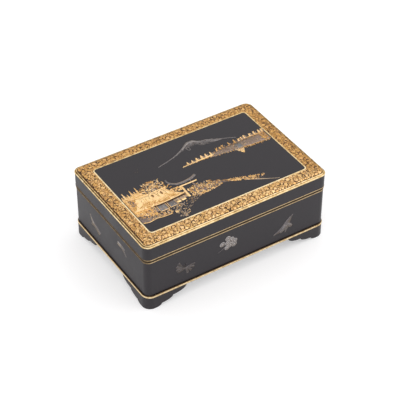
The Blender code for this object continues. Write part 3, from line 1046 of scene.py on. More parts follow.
def border_walk(share, inset):
    """A place on the border: a share of the way round its middle line, then straight across to the inset."""
    middle = loops([MIDDLE_INSET], [MIDDLE_CORNER])[0]
    closed = np.concatenate((middle, middle[:1]))
    walked = np.concatenate(([0], np.cumsum(np.linalg.norm(np.diff(closed, axis=0), axis=1))))
    distance = share * walked[-1]
    here = np.stack([np.interp(distance, walked, closed[:, k]) for k in (0, 1)], -1)
    ahead = np.stack([np.interp((distance + 0.3) % walked[-1], walked, closed[:, k]) for k in (0, 1)], -1)
    step = (ahead - here) / np.linalg.norm(ahead - here, axis=1, keepdims=True)
    outward = at(step[:, 1], -step[:, 0])
    return here + outward * (MIDDLE_INSET - inset)[:, None]


def in_band(points, margin=0.0):
    """True inside the border: within its outer rounded rectangle and outside its inner one."""
    x, y = points[..., 0], points[..., 1]
    inside = outside_by(x, y, BAND_OUTER + margin, LID_CORNER - BAND_OUTER) < 0
    return inside & (outside_by(x, y, BAND_INNER - margin, BAND_INNER_CORNER) > 0)


def throw_leaves(places, sizes, low, high, crowding, tries):
    """Throws places at random over the lid and keeps those in the border that stand clear of all kept before:
    distance > crowding * (size + other size)."""
    thrown = rng.uniform((-HALF_X, -HALF_Y), (HALF_X, HALF_Y), (tries, 2))
    thrown = thrown[in_band(thrown, 0.45 * low)]
    for place, size in zip(thrown, rng.uniform(low, high, len(thrown))):
        if (np.linalg.norm(places - place, axis=1) > crowding * (sizes + size)).all():
            places, sizes = np.vstack((places, place)), np.append(sizes, size)
    return places, sizes


flower_share = (np.arange(FLOWERS) + rng.uniform(-0.16, 0.16, FLOWERS)) / FLOWERS
flower_inset = MIDDLE_INSET + np.where(np.arange(FLOWERS) % 2, 1.25, -1.3) + rng.uniform(-0.35, 0.35, FLOWERS)
places = border_walk(flower_share % 1, flower_inset)
sizes = rng.uniform(1.2, 1.8, FLOWERS)
places, sizes = throw_leaves(places, sizes, 0.85, 1.3, 0.80, 12000)
leaves_end = len(places)
places, sizes = throw_leaves(places, sizes, 0.5, 0.75, 0.74, 30000)
print("flowers, leaves, leaflets:", FLOWERS, leaves_end - FLOWERS, len(places) - leaves_end)

# %% Cutting the leaves
NEIGHBOURS, SCROLLS = 18, 3600


def leaf_outlines(chosen, lobes, notch, sides):
    """Lobed outlines, radius = reach * size * (1 - notch * (1 - |cos(lobes * angle / 2)|)). Each is cut
    back at the line between it and a neighbour, (d^2 + size^2 - other^2) / (2 d) away, and at the
    border's edges."""
    centres, own = places[chosen], sizes[chosen]
    angles = np.linspace(0, 2 * np.pi, sides, endpoint=False)
    lobe = np.abs(np.cos(lobes / 2 * angles))[None]
    turned = angles[None] + rng.uniform(0, 2 * np.pi, len(centres))[:, None]
    direction = unit(turned)
    radius = LEAF_REACH * own[:, None] * (1 - notch * (1 - lobe))
    apart = places[None] - centres[:, None]
    distance = np.linalg.norm(apart, axis=2)
    distance[distance < 1e-6] = np.inf
    near = np.argsort(distance, axis=1)[:, :NEIGHBOURS]
    distance = np.take_along_axis(distance, near, 1)
    apart = np.take_along_axis(apart, near[..., None], 1) / distance[..., None]
    gap = rng.uniform(*LEAF_GAPS, near.shape)
    limit = (distance**2 + own[:, None] ** 2 - sizes[near] ** 2) / (2 * distance) - gap / 2
    facing = np.einsum("nsk,nmk->nsm", direction, apart)
    reach = np.where(facing > 0.03, limit[:, None] / np.maximum(facing, 0.03), np.inf).min(2)
    radius = np.minimum(radius, np.maximum(reach, 0.2 * own[:, None]))
    low, high = np.zeros_like(radius), radius.copy()
    for _ in range(9):
        middle = (low + high) / 2
        fits = in_band(centres[:, None] + direction * middle[..., None], EDGE_GAP)
        low, high = np.where(fits, middle, low), np.where(fits, high, middle)
    radius = np.where(in_band(centres[:, None] + direction * radius[..., None], EDGE_GAP), radius, low)
    veins = np.broadcast_to(1 - lobe, radius.shape)
    return centres[:, None] + direction * radius[..., None], centres, veins


def leaves(chosen, lobes, notch, sides, tones, crown):
    """Domed leaves of those outlines, each with its veins."""
    rims, centres, veins = leaf_outlines(chosen, lobes, notch, sides)
    return discs(rims, centres, on_lid, tones, 0.035, crown, veins, 0.72)


def border_leaves():
    """A leaf's tone is random within limits, with painted light and shade by side: brighter along the front
    and duller at the back and right.
    """
    flower, leaf, leaflet = slice(0, FLOWERS), slice(FLOWERS, leaves_end), slice(leaves_end, len(places))
    # The tone set by side is painted light and shade; only the random part is the leaves' own.
    tone = by_side(places[:, 0], places[:, 1], 0.72, 0.56, 0.50, 0.38) + rng.uniform(-0.15, 0.15, len(places))
    scraps = [leaves(flower, 5, 0.30, 20, tone[flower], 0.03)]
    scraps.append(leaves(leaf, 3, 0.34, 12, tone[leaf], 0.035))
    scraps.append(leaves(leaflet, 2, 0.30, 8, tone[leaflet], 0.025))
    scraps.append(dabs(places[flower], 0.7, 0.7, 0.0, on_lid, tone[flower] + 0.15, 8, 0.09, 0.05))
    return foil("border_leaves", scraps, gold_foil)


def scrolls(count):
    """Short cut arcs, centre + radius * (cos, sin), two round each flower and the others where they fall, and
    two long lines of painted shade, one inside the left edge and one inside the back edge."""
    loose = rng.uniform((-HALF_X, -HALF_Y), (HALF_X, HALF_Y), (count, 2))
    centres = np.vstack((places[:FLOWERS], places[:FLOWERS], loose))
    radius = np.concatenate((sizes[:FLOWERS] * 0.98, sizes[:FLOWERS] * 0.98, rng.uniform(0.3, 0.7, count)))
    sweep = rng.uniform(0.5, 2.0, len(centres))
    turns = rng.uniform(0, 2 * np.pi, len(centres))[:, None] + sweep[:, None] * np.linspace(0, 1, 8)
    paths = centres[:, None] + radius[:, None, None] * unit(turns)
    paths = paths[in_band(paths, 0.2).all(1)]
    widths = tapering(len(paths), rng.uniform(0.3, 0.85, len(paths)), 0.3, 8)
    lift, crown = 0.095, 0.01
    lines = strokes(paths, widths, on_lid, 0.0, lift, crown)
    # The two long lines are painted shade along the border's outer edge, inside the left side and the back.
    y = np.linspace(-HALF_Y + LID_CORNER, HALF_Y - LID_CORNER, 60)
    left = at(np.full(60, -HALF_X + BAND_OUTER + 0.3), y)
    x = np.linspace(-HALF_X + LID_CORNER, HALF_X - LID_CORNER, 60)
    back = at(x, np.full(60, HALF_Y - BAND_OUTER - 1.0))
    widths = np.array([[0.32], [0.24]]) + np.zeros(60)
    painted_shade_lines = strokes(np.stack((left, back)), widths, on_lid, 0.0, lift, crown)
    return foil("border_scrolls_and_painted_shade", [lines, painted_shade_lines], cut_and_shade_brown)


border_leaves()
scrolls(SCROLLS)

# %% [markdown]
# ## The picture: mountain and far shore
# The picture is a traditional kind of view: a snow mountain over a lake, a wooded shore, and in front a
# grove, a hall with a great roof and a gateway. It is laid from back to front. Each metal has its own list
# of scraps, and later ones lie a little higher, so that no two of them meet in one plane. Much of the
# picture is gold and mauve foil side by side, so one helper shares out a set of scraps between the two.

# %% Laying scraps
picture = {metal: [] for metal in ("gold", "mauve", "silver", "blue", "dark")}
UPRIGHT = np.pi / 2


def lay(metal, scrap):
    """Adds a scrap to the list of its metal."""
    picture[metal].append(scrap)


def lay_two_metals(cut, gold, *values):
    """Cuts the marked scraps from gold foil and the others from mauve, each with its part of every array."""
    for metal, chosen in (("gold", gold), ("mauve", ~gold)):
        lay(metal, cut(*(value[chosen] if isinstance(value, np.ndarray) else value for value in values)))


def throw_dabs(metal, count, low, high, length, width, turns, tones, lift, sides=8):
    """Dabs thrown over a rectangle from its low corner to its high one, with random turns and tones."""
    spots = rng.uniform(low, high, (count, 2))
    turns = rng.uniform(*turns, count)
    lay(metal, dabs(spots, length, width, turns, on_lid, rng.uniform(*tones, count), sides, lift))


def print_scraps():
    """Prints how many sets of scraps each metal has."""
    print("scraps so far:", {metal: len(scraps) for metal, scraps in picture.items()})


print_scraps()

# %% [markdown]
# The mountain is one silver ridge line with streaks hanging from it, longest near the summit and leaning
# away from it, which is how such a slope is shaded with a chisel. The right slope is filled with flatter
# strokes, and on the left one there is a small round hollow.

# %% The mountain
RIDGE = [(-19.6, 14.5), (-12.5, 16.2), (-5.8, 18.3), (0.8, 21.6), (5.6, 24.7), (8.3, 25.5), (10.8, 25.2)]
RIDGE += [(12.9, 23.4), (15.8, 22.2), (18.3, 22.0), (20.8, 20.4), (25.8, 18.3), (30.8, 16.2), (35.0, 14.2)]
SUMMIT_X = 8.5


def ridge_line():
    """Width: 0.5 + 0.9 * exp(-((x - summit) / 8)^2). A brighter line lies just below it at the summit."""
    line = smooth_path(RIDGE, 90)
    thick = 0.5 + 0.9 * np.exp(-(((line[:, 0] - SUMMIT_X) / 8) ** 2))
    lay("silver", strokes(line[None], thick[None], on_lid, 0.58, 0.05))
    lay("silver", strokes(smooth_path(RIDGE[3:8], 30)[None] - (0, 0.5), 0.9, on_lid, 0.75, 0.055))


def hanging_streaks(count):
    """Length: 0.5 + (0.8 + 3.8 * nearness) * random, where nearness = exp(-((x - summit) / 7)^2)."""
    x = np.sort(rng.normal(SUMMIT_X, 9.0, count).clip(-17, 33))
    near = np.exp(-(((x - SUMMIT_X) / 7) ** 2))
    length = 0.5 + (0.8 + 3.8 * near) * rng.uniform(0.2, 1, count)
    lean = np.clip((x - SUMMIT_X) / 9, -0.8, 0.8) + rng.uniform(-0.1, 0.1, count)
    starts = at(x, level_at(x, RIDGE) - 0.1)
    paths = straight(starts, starts + at(lean * length, -length), rng.uniform(-0.05, 0.05, count))
    widths = tapering(count, rng.uniform(0.2, 0.42, count), 0.04)
    tones, lifts = rng.uniform(0.1, 0.55, count), rng.uniform(0.015, 0.04, count)
    lay("silver", strokes(paths, widths, on_lid, tones, lifts, 0.01))


def left_slope(count):
    """Streaks that get longer towards the summit, and the oval rim of the hollow."""
    x = rng.uniform(-1.0, 8.0, count)
    starts = at(x, level_at(x, RIDGE) - 0.3)
    reach = at(rng.uniform(0.2, 1.0, count), -rng.uniform(0.8, 1.0 + 0.45 * (x + 1), count))
    tones = rng.uniform(0.2, 0.5, count)
    paths = straight(starts, starts + reach, 0.05)
    lay("silver", strokes(paths, tapering(count, 0.32, 0.1), on_lid, tones, 0.03, 0.01))
    hollow = (4.7, 20.2) + (1.0, 1.6) * unit(np.linspace(0, 2 * np.pi, 15))
    lay("silver", strokes(hollow[None], 0.45, on_lid, 0.55, 0.045, 0.01))


def right_slope(count):
    """Flat strokes below the ridge, the deeper the darker: tone = 0.7 - 0.1 * depth + a small noise."""
    x = rng.uniform(5.0, 24.0, count)
    deep = np.interp(x, (5.0, 8.0, 14.0, 24.0), (2.0, 3.6, 4.0, 0.8)) * rng.uniform(0, 1, count) ** 1.3
    starts = at(x, level_at(x, RIDGE) - 0.3 - deep)
    reach = at(rng.uniform(1.4, 3.4, count), -rng.uniform(0.2, 1.6, count))
    widths = tapering(count, rng.uniform(0.35, 0.6, count), 0.1)
    tones = 0.70 - 0.10 * deep + rng.uniform(-0.08, 0.08, count)
    lifts = rng.uniform(0.01, 0.04, count)
    lay("silver", strokes(straight(starts, starts + reach, 0.06), widths, on_lid, tones, lifts, 0.01))


ridge_line()
hanging_streaks(190)
left_slope(44)
right_slope(130)
print_scraps()

# %% The far shore
SHORE_LOW = [(-7.9, 6.6), (4.2, 5.9), (16.7, 5.4), (26.0, 4.4), (36.0, 3.6), (42.0, 2.9), (52.7, 2.4)]
SHORE_TOP = [(-7.9, 7.0), (-3.0, 8.0), (4.2, 8.6), (12.5, 9.2), (20.8, 10.2), (37.5, 11.2), (52.7, 11.8)]
SHORE_STEP, GROWTH_DRAWS = 0.62, 96
RIGHT_END = (48.4, 3.6), (52.3, 9.6)
SHORE_PINES = [-3.1, 0.2, 3.5, 7.1, 10.0, 13.4, 18.3, 20.8, 22.9, 27.8, 31.8, 34.7, 37.0, 39.2, 43.1, 46.4]
SHORE_PINES += [50.0, 51.9]


def bank():
    """A mauve bank on the right, and a bright line on the left that widens until it meets the bank."""
    x = np.linspace(12.0, 52.6, 60)
    low, top = level_at(x, SHORE_LOW) + 0.3, level_at(x, SHORE_TOP) - 0.9
    lay("mauve", strip(x, low, np.maximum(top, low + 0.3), on_lid, 0.50))
    line = smooth_path([(-7.6, 6.7), (-1.6, 7.1), (4.0, 7.3), (9.8, 7.5), (15.7, 7.8)], 30)[None]
    lay("gold", strokes(line, tapering(1, 0.35, 1.3, 30), on_lid, 1.0, 0.06))


def low_growth():
    """Small pointed bushes all along the bank, every third of them gold."""
    x = np.arange(-6.5, 52.4, SHORE_STEP)
    x = x + rng.uniform(-0.2, 0.2, GROWTH_DRAWS)[: len(x)]
    foot = np.where(x < 15, 7.3, level_at(x, SHORE_TOP) - 1.2)
    widths = rng.uniform(0.5, 1.0, len(x))
    heights = rng.uniform(0.6, 1.8, len(x)) * np.clip((x + 8) / 9, 0.2, 1)
    tones, lifts = rng.uniform(0.1, 0.7, len(x)), rng.uniform(0.03, 0.06, len(x))
    lay_two_metals(spires, np.arange(len(x)) % 3 == 0, at(x, foot), heights, widths, on_lid, tones, lifts)


def shore_pines():
    """Gold pines, each with a mauve one beside it, a thick middle and a crown that leans on the right."""
    x, count = np.array(SHORE_PINES), len(SHORE_PINES)
    foot = np.where(x < 15, 7.6, level_at(x, SHORE_TOP) - 0.9)
    heights = np.interp(x, (-3.1, 7.1, 30.0, 40.0, 52.0), (2.0, 3.3, 2.9, 3.3, 3.1))
    heights = heights + rng.uniform(-0.6, 0.5, count)
    tones = np.where((x > 15) & (x < 33), 0.55, 0.9)
    upright = x < 16
    broad = rng.uniform(0.7, 1.15, count) * np.interp(x, (-3, 10, 18, 31, 40), (1.7, 2.2, 1.1, 1.1, 1.9))
    pines = at(x, foot)
    lay("gold", spires(pines, heights, broad, on_lid, tones, 0.08))
    beside = pines + at(rng.uniform(0.7, 1.1, count), 0)
    lay("mauve", spires(beside, heights * 0.7, broad, on_lid, tones - 0.3, 0.07))
    middle = pines + at(0, heights * 0.45)
    lay("gold", dabs(middle, 0.9, 0.7, rng.uniform(-0.6, 0.6, count), on_lid, tones + 0.1, 8, 0.15))
    crowns = pines + at(rng.uniform(-0.3, 0.9, count) * np.where(upright, 0.3, 1), heights * 0.7)
    turns = np.where(upright, rng.uniform(1.3, 1.9, count), rng.uniform(-0.3, 1.4, count))
    lay("gold", dabs(crowns, np.where(upright, 1.9, 1.5), 0.6, turns, on_lid, tones, 8, 0.17))
    lay("mauve", dabs(crowns + (0.9, -1.0), 1.3, 0.6, turns, on_lid, tones - 0.1, 8, 0.16))


bank()
low_growth()
shore_pines()
print_scraps()

# %% The water's edge


def waterline():
    """Ticks that hang from the shore, longer ones at its right end, and only a third gold in the middle."""
    x = np.arange(-6.8, 52.4, SHORE_STEP)
    edge = np.where(x < 14, 7.0, level_at(x, SHORE_LOW) + 0.35)
    drop = rng.uniform(0.2, 1.2, len(x)) * np.interp(x, (-7, 8), (0.4, 1))
    drop = drop + 0.5 * (x > 35) * rng.uniform(0, 2, len(x))
    top = at(x, edge)
    paths = straight(top, top - at(drop * 0.1, drop))
    tones = rng.uniform(0.2, 0.9, len(x)) + np.interp(x, (-7, 14), (0.4, 0))
    lifts = rng.uniform(0.06, 0.09, len(x))
    gold = (x < 14) | (x > 34) | (np.arange(len(x)) % 3 == 0)
    lay_two_metals(strokes, gold, paths, tapering(len(x), 0.55, 0.25), on_lid, tones, lifts)


def flecks(count):
    """Upright flecks over the bank, nearly all mauve, but gold at the right end."""
    x = rng.uniform(14, 52.2, count)
    low, top = level_at(x, SHORE_LOW), level_at(x, SHORE_TOP) - 0.7
    spots = at(x, low + rng.uniform(0.08, 0.95, count) * (top - low))
    lengths, turns = rng.uniform(0.5, 1.3, count), UPRIGHT + rng.uniform(-0.25, 0.25, count)
    tones, lifts = rng.uniform(0.3, 1.0, count), rng.uniform(0.09, 0.11, count)
    gold = rng.uniform(0, 1, count) < np.interp(x, (14, 44, 50), (0.05, 0.15, 0.9))
    lay_two_metals(dabs, gold, spots, lengths, 0.3, turns, on_lid, tones - 0.1, 6, lifts)


def pool_and_reflection():
    """A pool of blue silver in the bank, and below it a pointed reflection, gold strokes with mauve dabs."""
    x = np.linspace(30.2, 33.8, 9)
    lay("blue", strip(x, level_at(x, SHORE_LOW) + 0.9, level_at(x, SHORE_TOP) - 2.0, on_lid, 0.45, 0.13))
    x = np.linspace(28.2, 33.4, 15)
    top = level_at(x, SHORE_LOW) + rng.uniform(-0.3, 0.1, len(x))
    drop = np.interp(x, (28.2, 31.4, 33.4), (0.4, 5.2, 2.6)) * rng.uniform(0.75, 1.1, len(x))
    sideways = np.interp(x, (28.2, 33.4), (0.2, -0.9))
    paths = straight(at(x, top), at(x + sideways, top - drop))
    tones, lifts = rng.uniform(0.5, 1.2, len(x)), rng.uniform(0.02, 0.05, len(x))
    lay("gold", strokes(paths, tapering(len(x), 0.6, 0.4), on_lid, tones, lifts))
    spots = thrown_between(26, (28.6, 33.0), [(28.6, 3.4), (31.4, 0.4), (33.0, 2.2)], SHORE_LOW)
    lay("mauve", dabs(spots, 0.9, 0.35, rng.uniform(-0.4, 1.0, 26), on_lid, 1.0, 6, 0.07))


waterline()
flecks(240)
pool_and_reflection()
throw_dabs("gold", 46, *RIGHT_END, 1.4, 0.4, (UPRIGHT - 0.25, UPRIGHT + 0.25), (0.1, 0.6), 0.12, 6)
bank_top = smooth_path([(40.0, 10.6), (45.6, 10.5), (52.4, 10.3)], 12)[None]
lay("gold", strokes(bank_top, 0.5, on_lid, 0.6, 0.075))
print_scraps()

# %% [markdown]
# ## The picture: grove and hall
# The near shore starts with pointed trees and a big pine. The pine is openwork: bowed twigs with the iron
# showing between them. They stand on a sunflower's spiral, which fills an oval evenly without a grid. The
# hall is nearly all roof. Its edge lines are curved, (1 - v)^1.8 outwards as one comes down, and the short
# tile ribs follow them, because they share out the width at each height.

# %% The grove
PICTURE_LEFT = -52.75
GROVE_X = [-52.0, -50.3, -49.1, -47.9, -46.6, -45.4, -44.4, -43.4, -42.4, -41.4]
GROVE_TOPS = [2.2, 5.4, 1.6, 2.9, 1.2, 5.4, 1.8, 3.3, 1.6, 6.3]
GROVE_FOOT = -3.0


def grove():
    """Pointed gold trees by the left edge, on a mottled bank with a wavy top."""
    x, tops = np.array(GROVE_X), np.array(GROVE_TOPS)
    tones = rng.uniform(0.6, 0.95, len(x))
    lay("gold", spires(at(x, GROVE_FOOT), tops - GROVE_FOOT, 2.3, on_lid, tones, 0.05 + x * 0.0004))
    x = np.linspace(PICTURE_LEFT, -40.0, 14)
    lay("gold", strip(x, -16.0, -1.2 + 0.5 * np.sin(x * 3.0), on_lid, 0.42))


def grove_leaves(count):
    """Upright dabs of random length all over the bank."""
    spots = rng.uniform((-52.3, -17.0), (-40.0, -1.5), (count, 2))
    turns = rng.uniform(0.9, 1.9, count)
    tones, lifts = rng.uniform(0.1, 1.0, count), rng.uniform(0.07, 0.10, count)
    lay("gold", dabs(spots, rng.uniform(0.8, 2.2, count), 0.5, turns, on_lid, tones, 8, lifts))


grove()
grove_leaves(230)
throw_dabs("mauve", 24, (-50.6, -8.7), (-48.0, -2.9), 1.5, 0.45, (1.2, 2.2), (0.1, 0.7), 0.11)

# %% The pine
GOLDEN_ANGLE = 2.39996
PINE_FOOT = (-32.6, -3.0)
PINE_TIPS = [(-40, 0.5), (-38, 4), (-35, 6.5), (-32.3, 7.5), (-29, 6.5), (-27, 4), (-25.6, 0.5)]
PINE_TIPS += [(-36, 1), (-29, 1)]


def pine_crown(count):
    """Sunflower spiral: the radius grows with the square root of the twig's number, and every twig stands a
    golden angle further round. Six in ten are gold and the others a brighter mauve."""
    number = np.arange(count)
    radius = np.sqrt((number + 0.5) / count) + rng.uniform(-0.12, 0.12, count)
    twigs = (-31.6, 1.6) + (6.7, 5.0) * radius[:, None] * unit(number * GOLDEN_ANGLE)
    turns = rng.uniform(0, np.pi, count)
    reach = rng.uniform(0.7, 1.7, count)[:, None] * unit(turns)
    paths = straight(twigs - reach, twigs + reach, rng.uniform(-0.45, 0.45, count))
    widths = tapering(count, rng.uniform(0.4, 0.75, count), 0.25)
    tones, lifts = rng.uniform(0.2, 1.05, count), rng.uniform(0.05, 0.10, count)
    gold = number % 10 < 6
    tones = tones + np.where(gold, 0, 0.35)
    lay_two_metals(strokes, gold, paths, widths, on_lid, tones, lifts)
    spots = twigs[::4] + rng.uniform(-0.6, 0.6, (len(twigs[::4]), 2))
    lay("gold", dabs(spots, 1.1, 0.7, turns[::4], on_lid, tones[::4] + 0.2, 8, 0.11))


def pine_wood():
    """Mauve branches from the foot to the tips, and one bright gold bough across them."""
    count = len(PINE_TIPS)
    branches = straight(np.tile(PINE_FOOT, (count, 1)), PINE_TIPS, 0.12, 9)
    lay("mauve", strokes(branches, tapering(count, 0.5, 0.2, 9), on_lid, 0.5, 0.03))
    lay("gold", strokes(straight([(-35.6, 5.2)], [(-27.4, -2.6)], 0.08, 9), 0.4, on_lid, 0.9, 0.12))


pine_crown(58)
throw_dabs("gold", 18, (-41.2, -3.4), (-35.5, 1.6), 1.6, 0.7, (0.2, 1.6), (0.3, 1.0), 0.1)
pine_wood()
throw_dabs("gold", 34, (-24.6, -10.0), (-17.6, -6.6), 1.4, 0.7, (-0.3, 0.6), (0.3, 1.1), 0.1)
throw_dabs("gold", 18, (-26.5, -5.0), (-22.4, 1.2), 1.2, 0.5, (-1, 1), (0.1, 0.8), 0.1)
print_scraps()

# %% The hall's roof
ROOF_LOW, ROOF_TOP = -13.5, -3.3


def roof_point(share, height):
    """A place on the roof, by its share of the way from left edge to right and from eave to ridge.
    Flare of both edges: (1 - height)^1.8. Droop of the eave: 2 * share * (1 - share) * (1 - height)."""
    flare = (1 - height) ** 1.8
    left, right = -46.6 - 4.6 * flare, -26.3 + 8.2 * flare
    droop = 0.5 * (4 * share * (1 - share)) * (1 - height)
    return at(left + (right - left) * share, ROOF_LOW - droop + (ROOF_TOP - ROOF_LOW) * height)


def hall_roof(ribs):
    """One plate for the whole roof, with short tile ribs on it that are duller to the right."""
    share, height = np.meshgrid(np.linspace(0, 1, 25), np.linspace(0, 1, 9))
    lay("gold", plates(roof_point(share, height)[None], on_lid, 1.15, 0.12))
    share = np.sort(rng.uniform(0.22, 0.98, ribs))
    first, length = rng.uniform(0.0, 0.75, (ribs, 1)), rng.uniform(0.15, 0.5, (ribs, 1))
    height = np.minimum(first + length * np.linspace(0, 1, 7), 0.97)
    tones = 0.72 + 0.35 * first[:, 0] - 0.35 * np.clip(share * 2 - 1.1, 0, 1)
    tones = tones + rng.uniform(-0.1, 0.3, ribs)
    lifts = 0.14 + 0.02 * rng.uniform(0, 1, ribs)
    lay("gold", strokes(roof_point(share[:, None], height), 0.3, on_lid, tones, lifts, 0.02))


def ridge_and_eave():
    """A bright line along the ridge and one along the eave."""
    ridge = smooth_path([(-45.8, -2.6), (-44.0, -3.1), (-35, -3.35), (-27, -3.1), (-25.3, -2.6)], 20)[None]
    eave = smooth_path([(-52.0, -12.7), (-49, -13.5), (-35, -14.1), (-22, -13.4), (-18.4, -12.6)], 30)[None]
    lay("gold", strokes(ridge, 0.75, on_lid, 1.0, 0.17))
    lay("gold", strokes(eave, 0.7, on_lid, 1.0, 0.17))


def roof_shade(left, right):
    """Darker dabs: some heaped at the left of the eave, the others low on the right, brighter further up."""
    spots = rng.normal((-41.0, -12.0), (2.6, 1.3), (left, 2)).clip((-48, -14.0), (-35, -8.5))
    tones = rng.uniform(0.2, 0.8, left)
    lay("gold", dabs(spots, 1.5, 0.6, rng.uniform(0.2, 1.2, left), on_lid, tones, 8, 0.17))
    share, height = rng.uniform(0.42, 0.98, right), rng.uniform(0.0, 0.42, right) ** 1.2
    tones = rng.uniform(-0.05, 0.45, right) + 1.2 * height
    lay("gold", dabs(roof_point(share, height), 2.2, 0.5, 0.1, on_lid, tones, 8, 0.165, 0.02))


def dormer(x, y):
    """An arched window: a gold frame with a thin dark line round it, a dark opening and two bars."""
    arch = (x, y) + (1.75, 1.7) * unit(np.linspace(-0.25, np.pi + 0.25, 15))
    arch[0], arch[-1] = (x + 2.0, y - 1.7), (x - 2.0, y - 1.7)
    lay("gold", strokes(arch[None], 0.7, on_lid, 1.2, 0.20))
    outer = (x, y) + (arch - (x, y)) * 1.32
    lay("dark", strokes(outer[None], 0.13, on_lid, 1.0, 0.18))
    lay("dark", dabs([(x, y - 0.4)], 2.6, 1.5, UPRIGHT, on_lid, 0.4, 14, 0.18))
    bars = straight([(x - 0.35, y - 1.7), (x + 0.4, y - 1.7)], [(x - 0.35, y + 0.8), (x + 0.4, y + 0.8)])
    lay("gold", strokes(bars, 0.2, on_lid, 0.6, 0.24))


hall_roof(62)
ridge_and_eave()
roof_shade(70, 90)
dormer(-36.0, -5.7)
dormer(-30.2, -5.9)
print_scraps()

# %% The hall's walls
EAVE_SHADE = -14.3
POSTS_X = [-38.9, -33.2, -32.2, -27.2, -24.9, -22.9, -20.9, -18.9]
POSTS_LOW = [-20.6, -20.8, -20.6, -20.2, -17.8, -17.8, -17.6, -17.4]
WALL_PANELS = [(-38.8, -33.4, -20.3, "blue", 0.6), (-31.9, -27.5, -20.0, "blue", 0.4)]
WALL_PANELS += [(-42.2, -38.9, -19.4, "mauve", 0.35), (-26.9, -18.4, -17.0, "mauve", 0.7)]


def hall_walls():
    """Blue silver screens between mauve walls, gold posts before them and the dark line under the eave."""
    for left, right, low, metal, tone in WALL_PANELS:
        lay(metal, strip(np.linspace(left, right, 7), low, EAVE_SHADE, on_lid, tone, 0.04))
    posts = straight(at(POSTS_X, POSTS_LOW), at(POSTS_X, EAVE_SHADE - 0.1))
    lay("gold", strokes(posts, 0.36, on_lid, 0.8, 0.09))
    line = smooth_path([(-41.0, -14.7), (-32, -15.1), (-24.0, -14.7), (-19.2, -14.3)], 20)[None]
    lay("dark", strokes(line, tapering(1, 0.5, 1.0, 20), on_lid, 0.2, 0.21))
    sills = straight([(-38.9, -20.4), (-31.9, -20.2)], [(-33.3, -20.6), (-27.2, -20.1)])
    lay("gold", strokes(sills, 0.45, on_lid, 0.9, 0.12))
    steps = straight([(-26.8, -18.1), (-23.6, -18.0)], [(-24.1, -18.2), (-20.6, -17.8)])
    lay("gold", strokes(steps, 1.5, on_lid, 1.1, 0.12))


hall_walls()
throw_dabs("mauve", 60, (-42.2, -20.6), (-27.0, -15.2), 1.1, 0.45, (-1, 1), (0.1, 0.9), 0.1)
ridge_tiles = at(np.linspace(-44.2, -38.8, 8), -4.75)
lay("dark", dabs(ridge_tiles, 0.55, 0.3, UPRIGHT, on_lid, 0.3, 6, 0.18))
print_scraps()

# %% [markdown]
# ## The picture: gateway, bushes and spit
# In front of the hall stands a gateway: two posts, a straight lower beam and a curved top beam. The bushes,
# the ringed shrub and the spit are many small dabs, thrown between an upper and a lower outline.

# %% Between two outlines


def foliage(count, x_range, low, top, length, width, turn, gold_share, tones=(0.2, 1.0), lifts=(0.05, 0.09)):
    """Dabs between two outlines, a share of them in gold and the others in mauve."""
    spots = thrown_between(count, x_range, low, top)
    gold = rng.uniform(0, 1, count) < gold_share
    lengths = rng.uniform(length * 0.6, length * 1.3, count)
    turns = turn + rng.uniform(-0.35, 0.35, count)
    tone, lift = rng.uniform(*tones, count), rng.uniform(*lifts, count)
    lay_two_metals(dabs, gold, spots, lengths, width, turns, on_lid, tone, 8, lift)


# %% The gateway
TOP_BEAM = [(-22.5, 2.2), (-22.7, 0.2), (-21.4, -2.4), (-18.8, -4.3), (-15.0, -4.8), (-10.5, -4.4)]
TOP_BEAM += [(-7.5, -3.7), (-5.0, -2.4)]


def gateway():
    """Width of the top beam: 0.9 at its left tip, growing evenly to 1.85 and staying there."""
    posts = straight([(-17.9, -17.9), (-9.7, -14.6)], [(-17.4, -7.2), (-10.2, -7.2)])
    lay("gold", strokes(posts[:1], tapering(1, 1.35, 1.1), on_lid, 1.0, 0.14))
    lay("mauve", strokes(posts[1:], tapering(1, 0.8, 1.1), on_lid, 0.5, 0.14))
    beam = smooth_path([(-18.6, -7.2), (-12, -7.3), (-6.7, -7.2)], 20)[None]
    lay("gold", strokes(beam, 0.9, on_lid, 1.05, 0.18))
    top = smooth_path(TOP_BEAM, 40)
    thick = 0.9 + 0.95 * np.minimum(1, 1.6 * np.linspace(0, 1, 40))
    lay("silver", strokes(top[None], thick[None], on_lid, 0.5, 0.16))
    lay("mauve", strokes(top[None, 12:-2] + (0, 0.4), 0.4, on_lid, 0.65, 0.21))
    struts = straight([(-13.9, -6.9), (-10.2, -6.9)], [(-13.9, -5.4), (-10.2, -5.2)])
    lay("mauve", strokes(struts, 0.5, on_lid, 0.3, 0.15))


gateway()
print_scraps()

# %% Bushes and spit
BUSH_TOP = [(-16.6, -11.4), (-12, -10.6), (-7, -10.0), (-3, -10.6), (1, -12.4), (4.5, -14.4)]
BUSH_LOW = [(-16.6, -17.8), (-10, -19.4), (-2, -19.2), (4.5, -17.6)]
BUSH_HEM = ([(x, y - 0.3) for x, y in BUSH_LOW], [(x, y + 1.2) for x, y in BUSH_LOW])
SPIT_TOP = [(3.5, -14.2), (10, -17.0), (20.8, -20.6), (25, -22.2), (31.2, -23.2)]
SPIT_LOW = [(3.5, -17.8), (8, -18.2), (12.5, -20.3), (19, -23.2), (24, -25.3), (31.2, -23.6)]


def bushes():
    """A dark mauve plate with a ragged edge, upright leaves on it and a bright hem along its foot."""
    x = np.linspace(-15.5, 8.0, 24)
    ragged = 0.5 * np.sin(x * 2.7)
    low = np.interp(x, (-15.5, 4, 8), (-17.6, -17.2, -17.6))
    top = np.interp(x, (-15.5, -7, 8), (-12.4, -11.2, -16.2))
    lay("mauve", strip(x, low + 0.3 * ragged, top + ragged, on_lid, 0.15))
    foliage(215, (-16.4, 0.0), BUSH_LOW, BUSH_TOP, 1.4, 0.5, UPRIGHT, 0.66, (0.2, 1.1))
    foliage(60, (-1.0, 4.3), BUSH_LOW, BUSH_TOP, 1.3, 0.5, UPRIGHT, 0.4, (0.1, 0.7))
    foliage(60, (-16.4, 4.3), *BUSH_HEM, 1.2, 0.4, 0.1, 0.9, (0.5, 1.0), (0.09, 0.12))


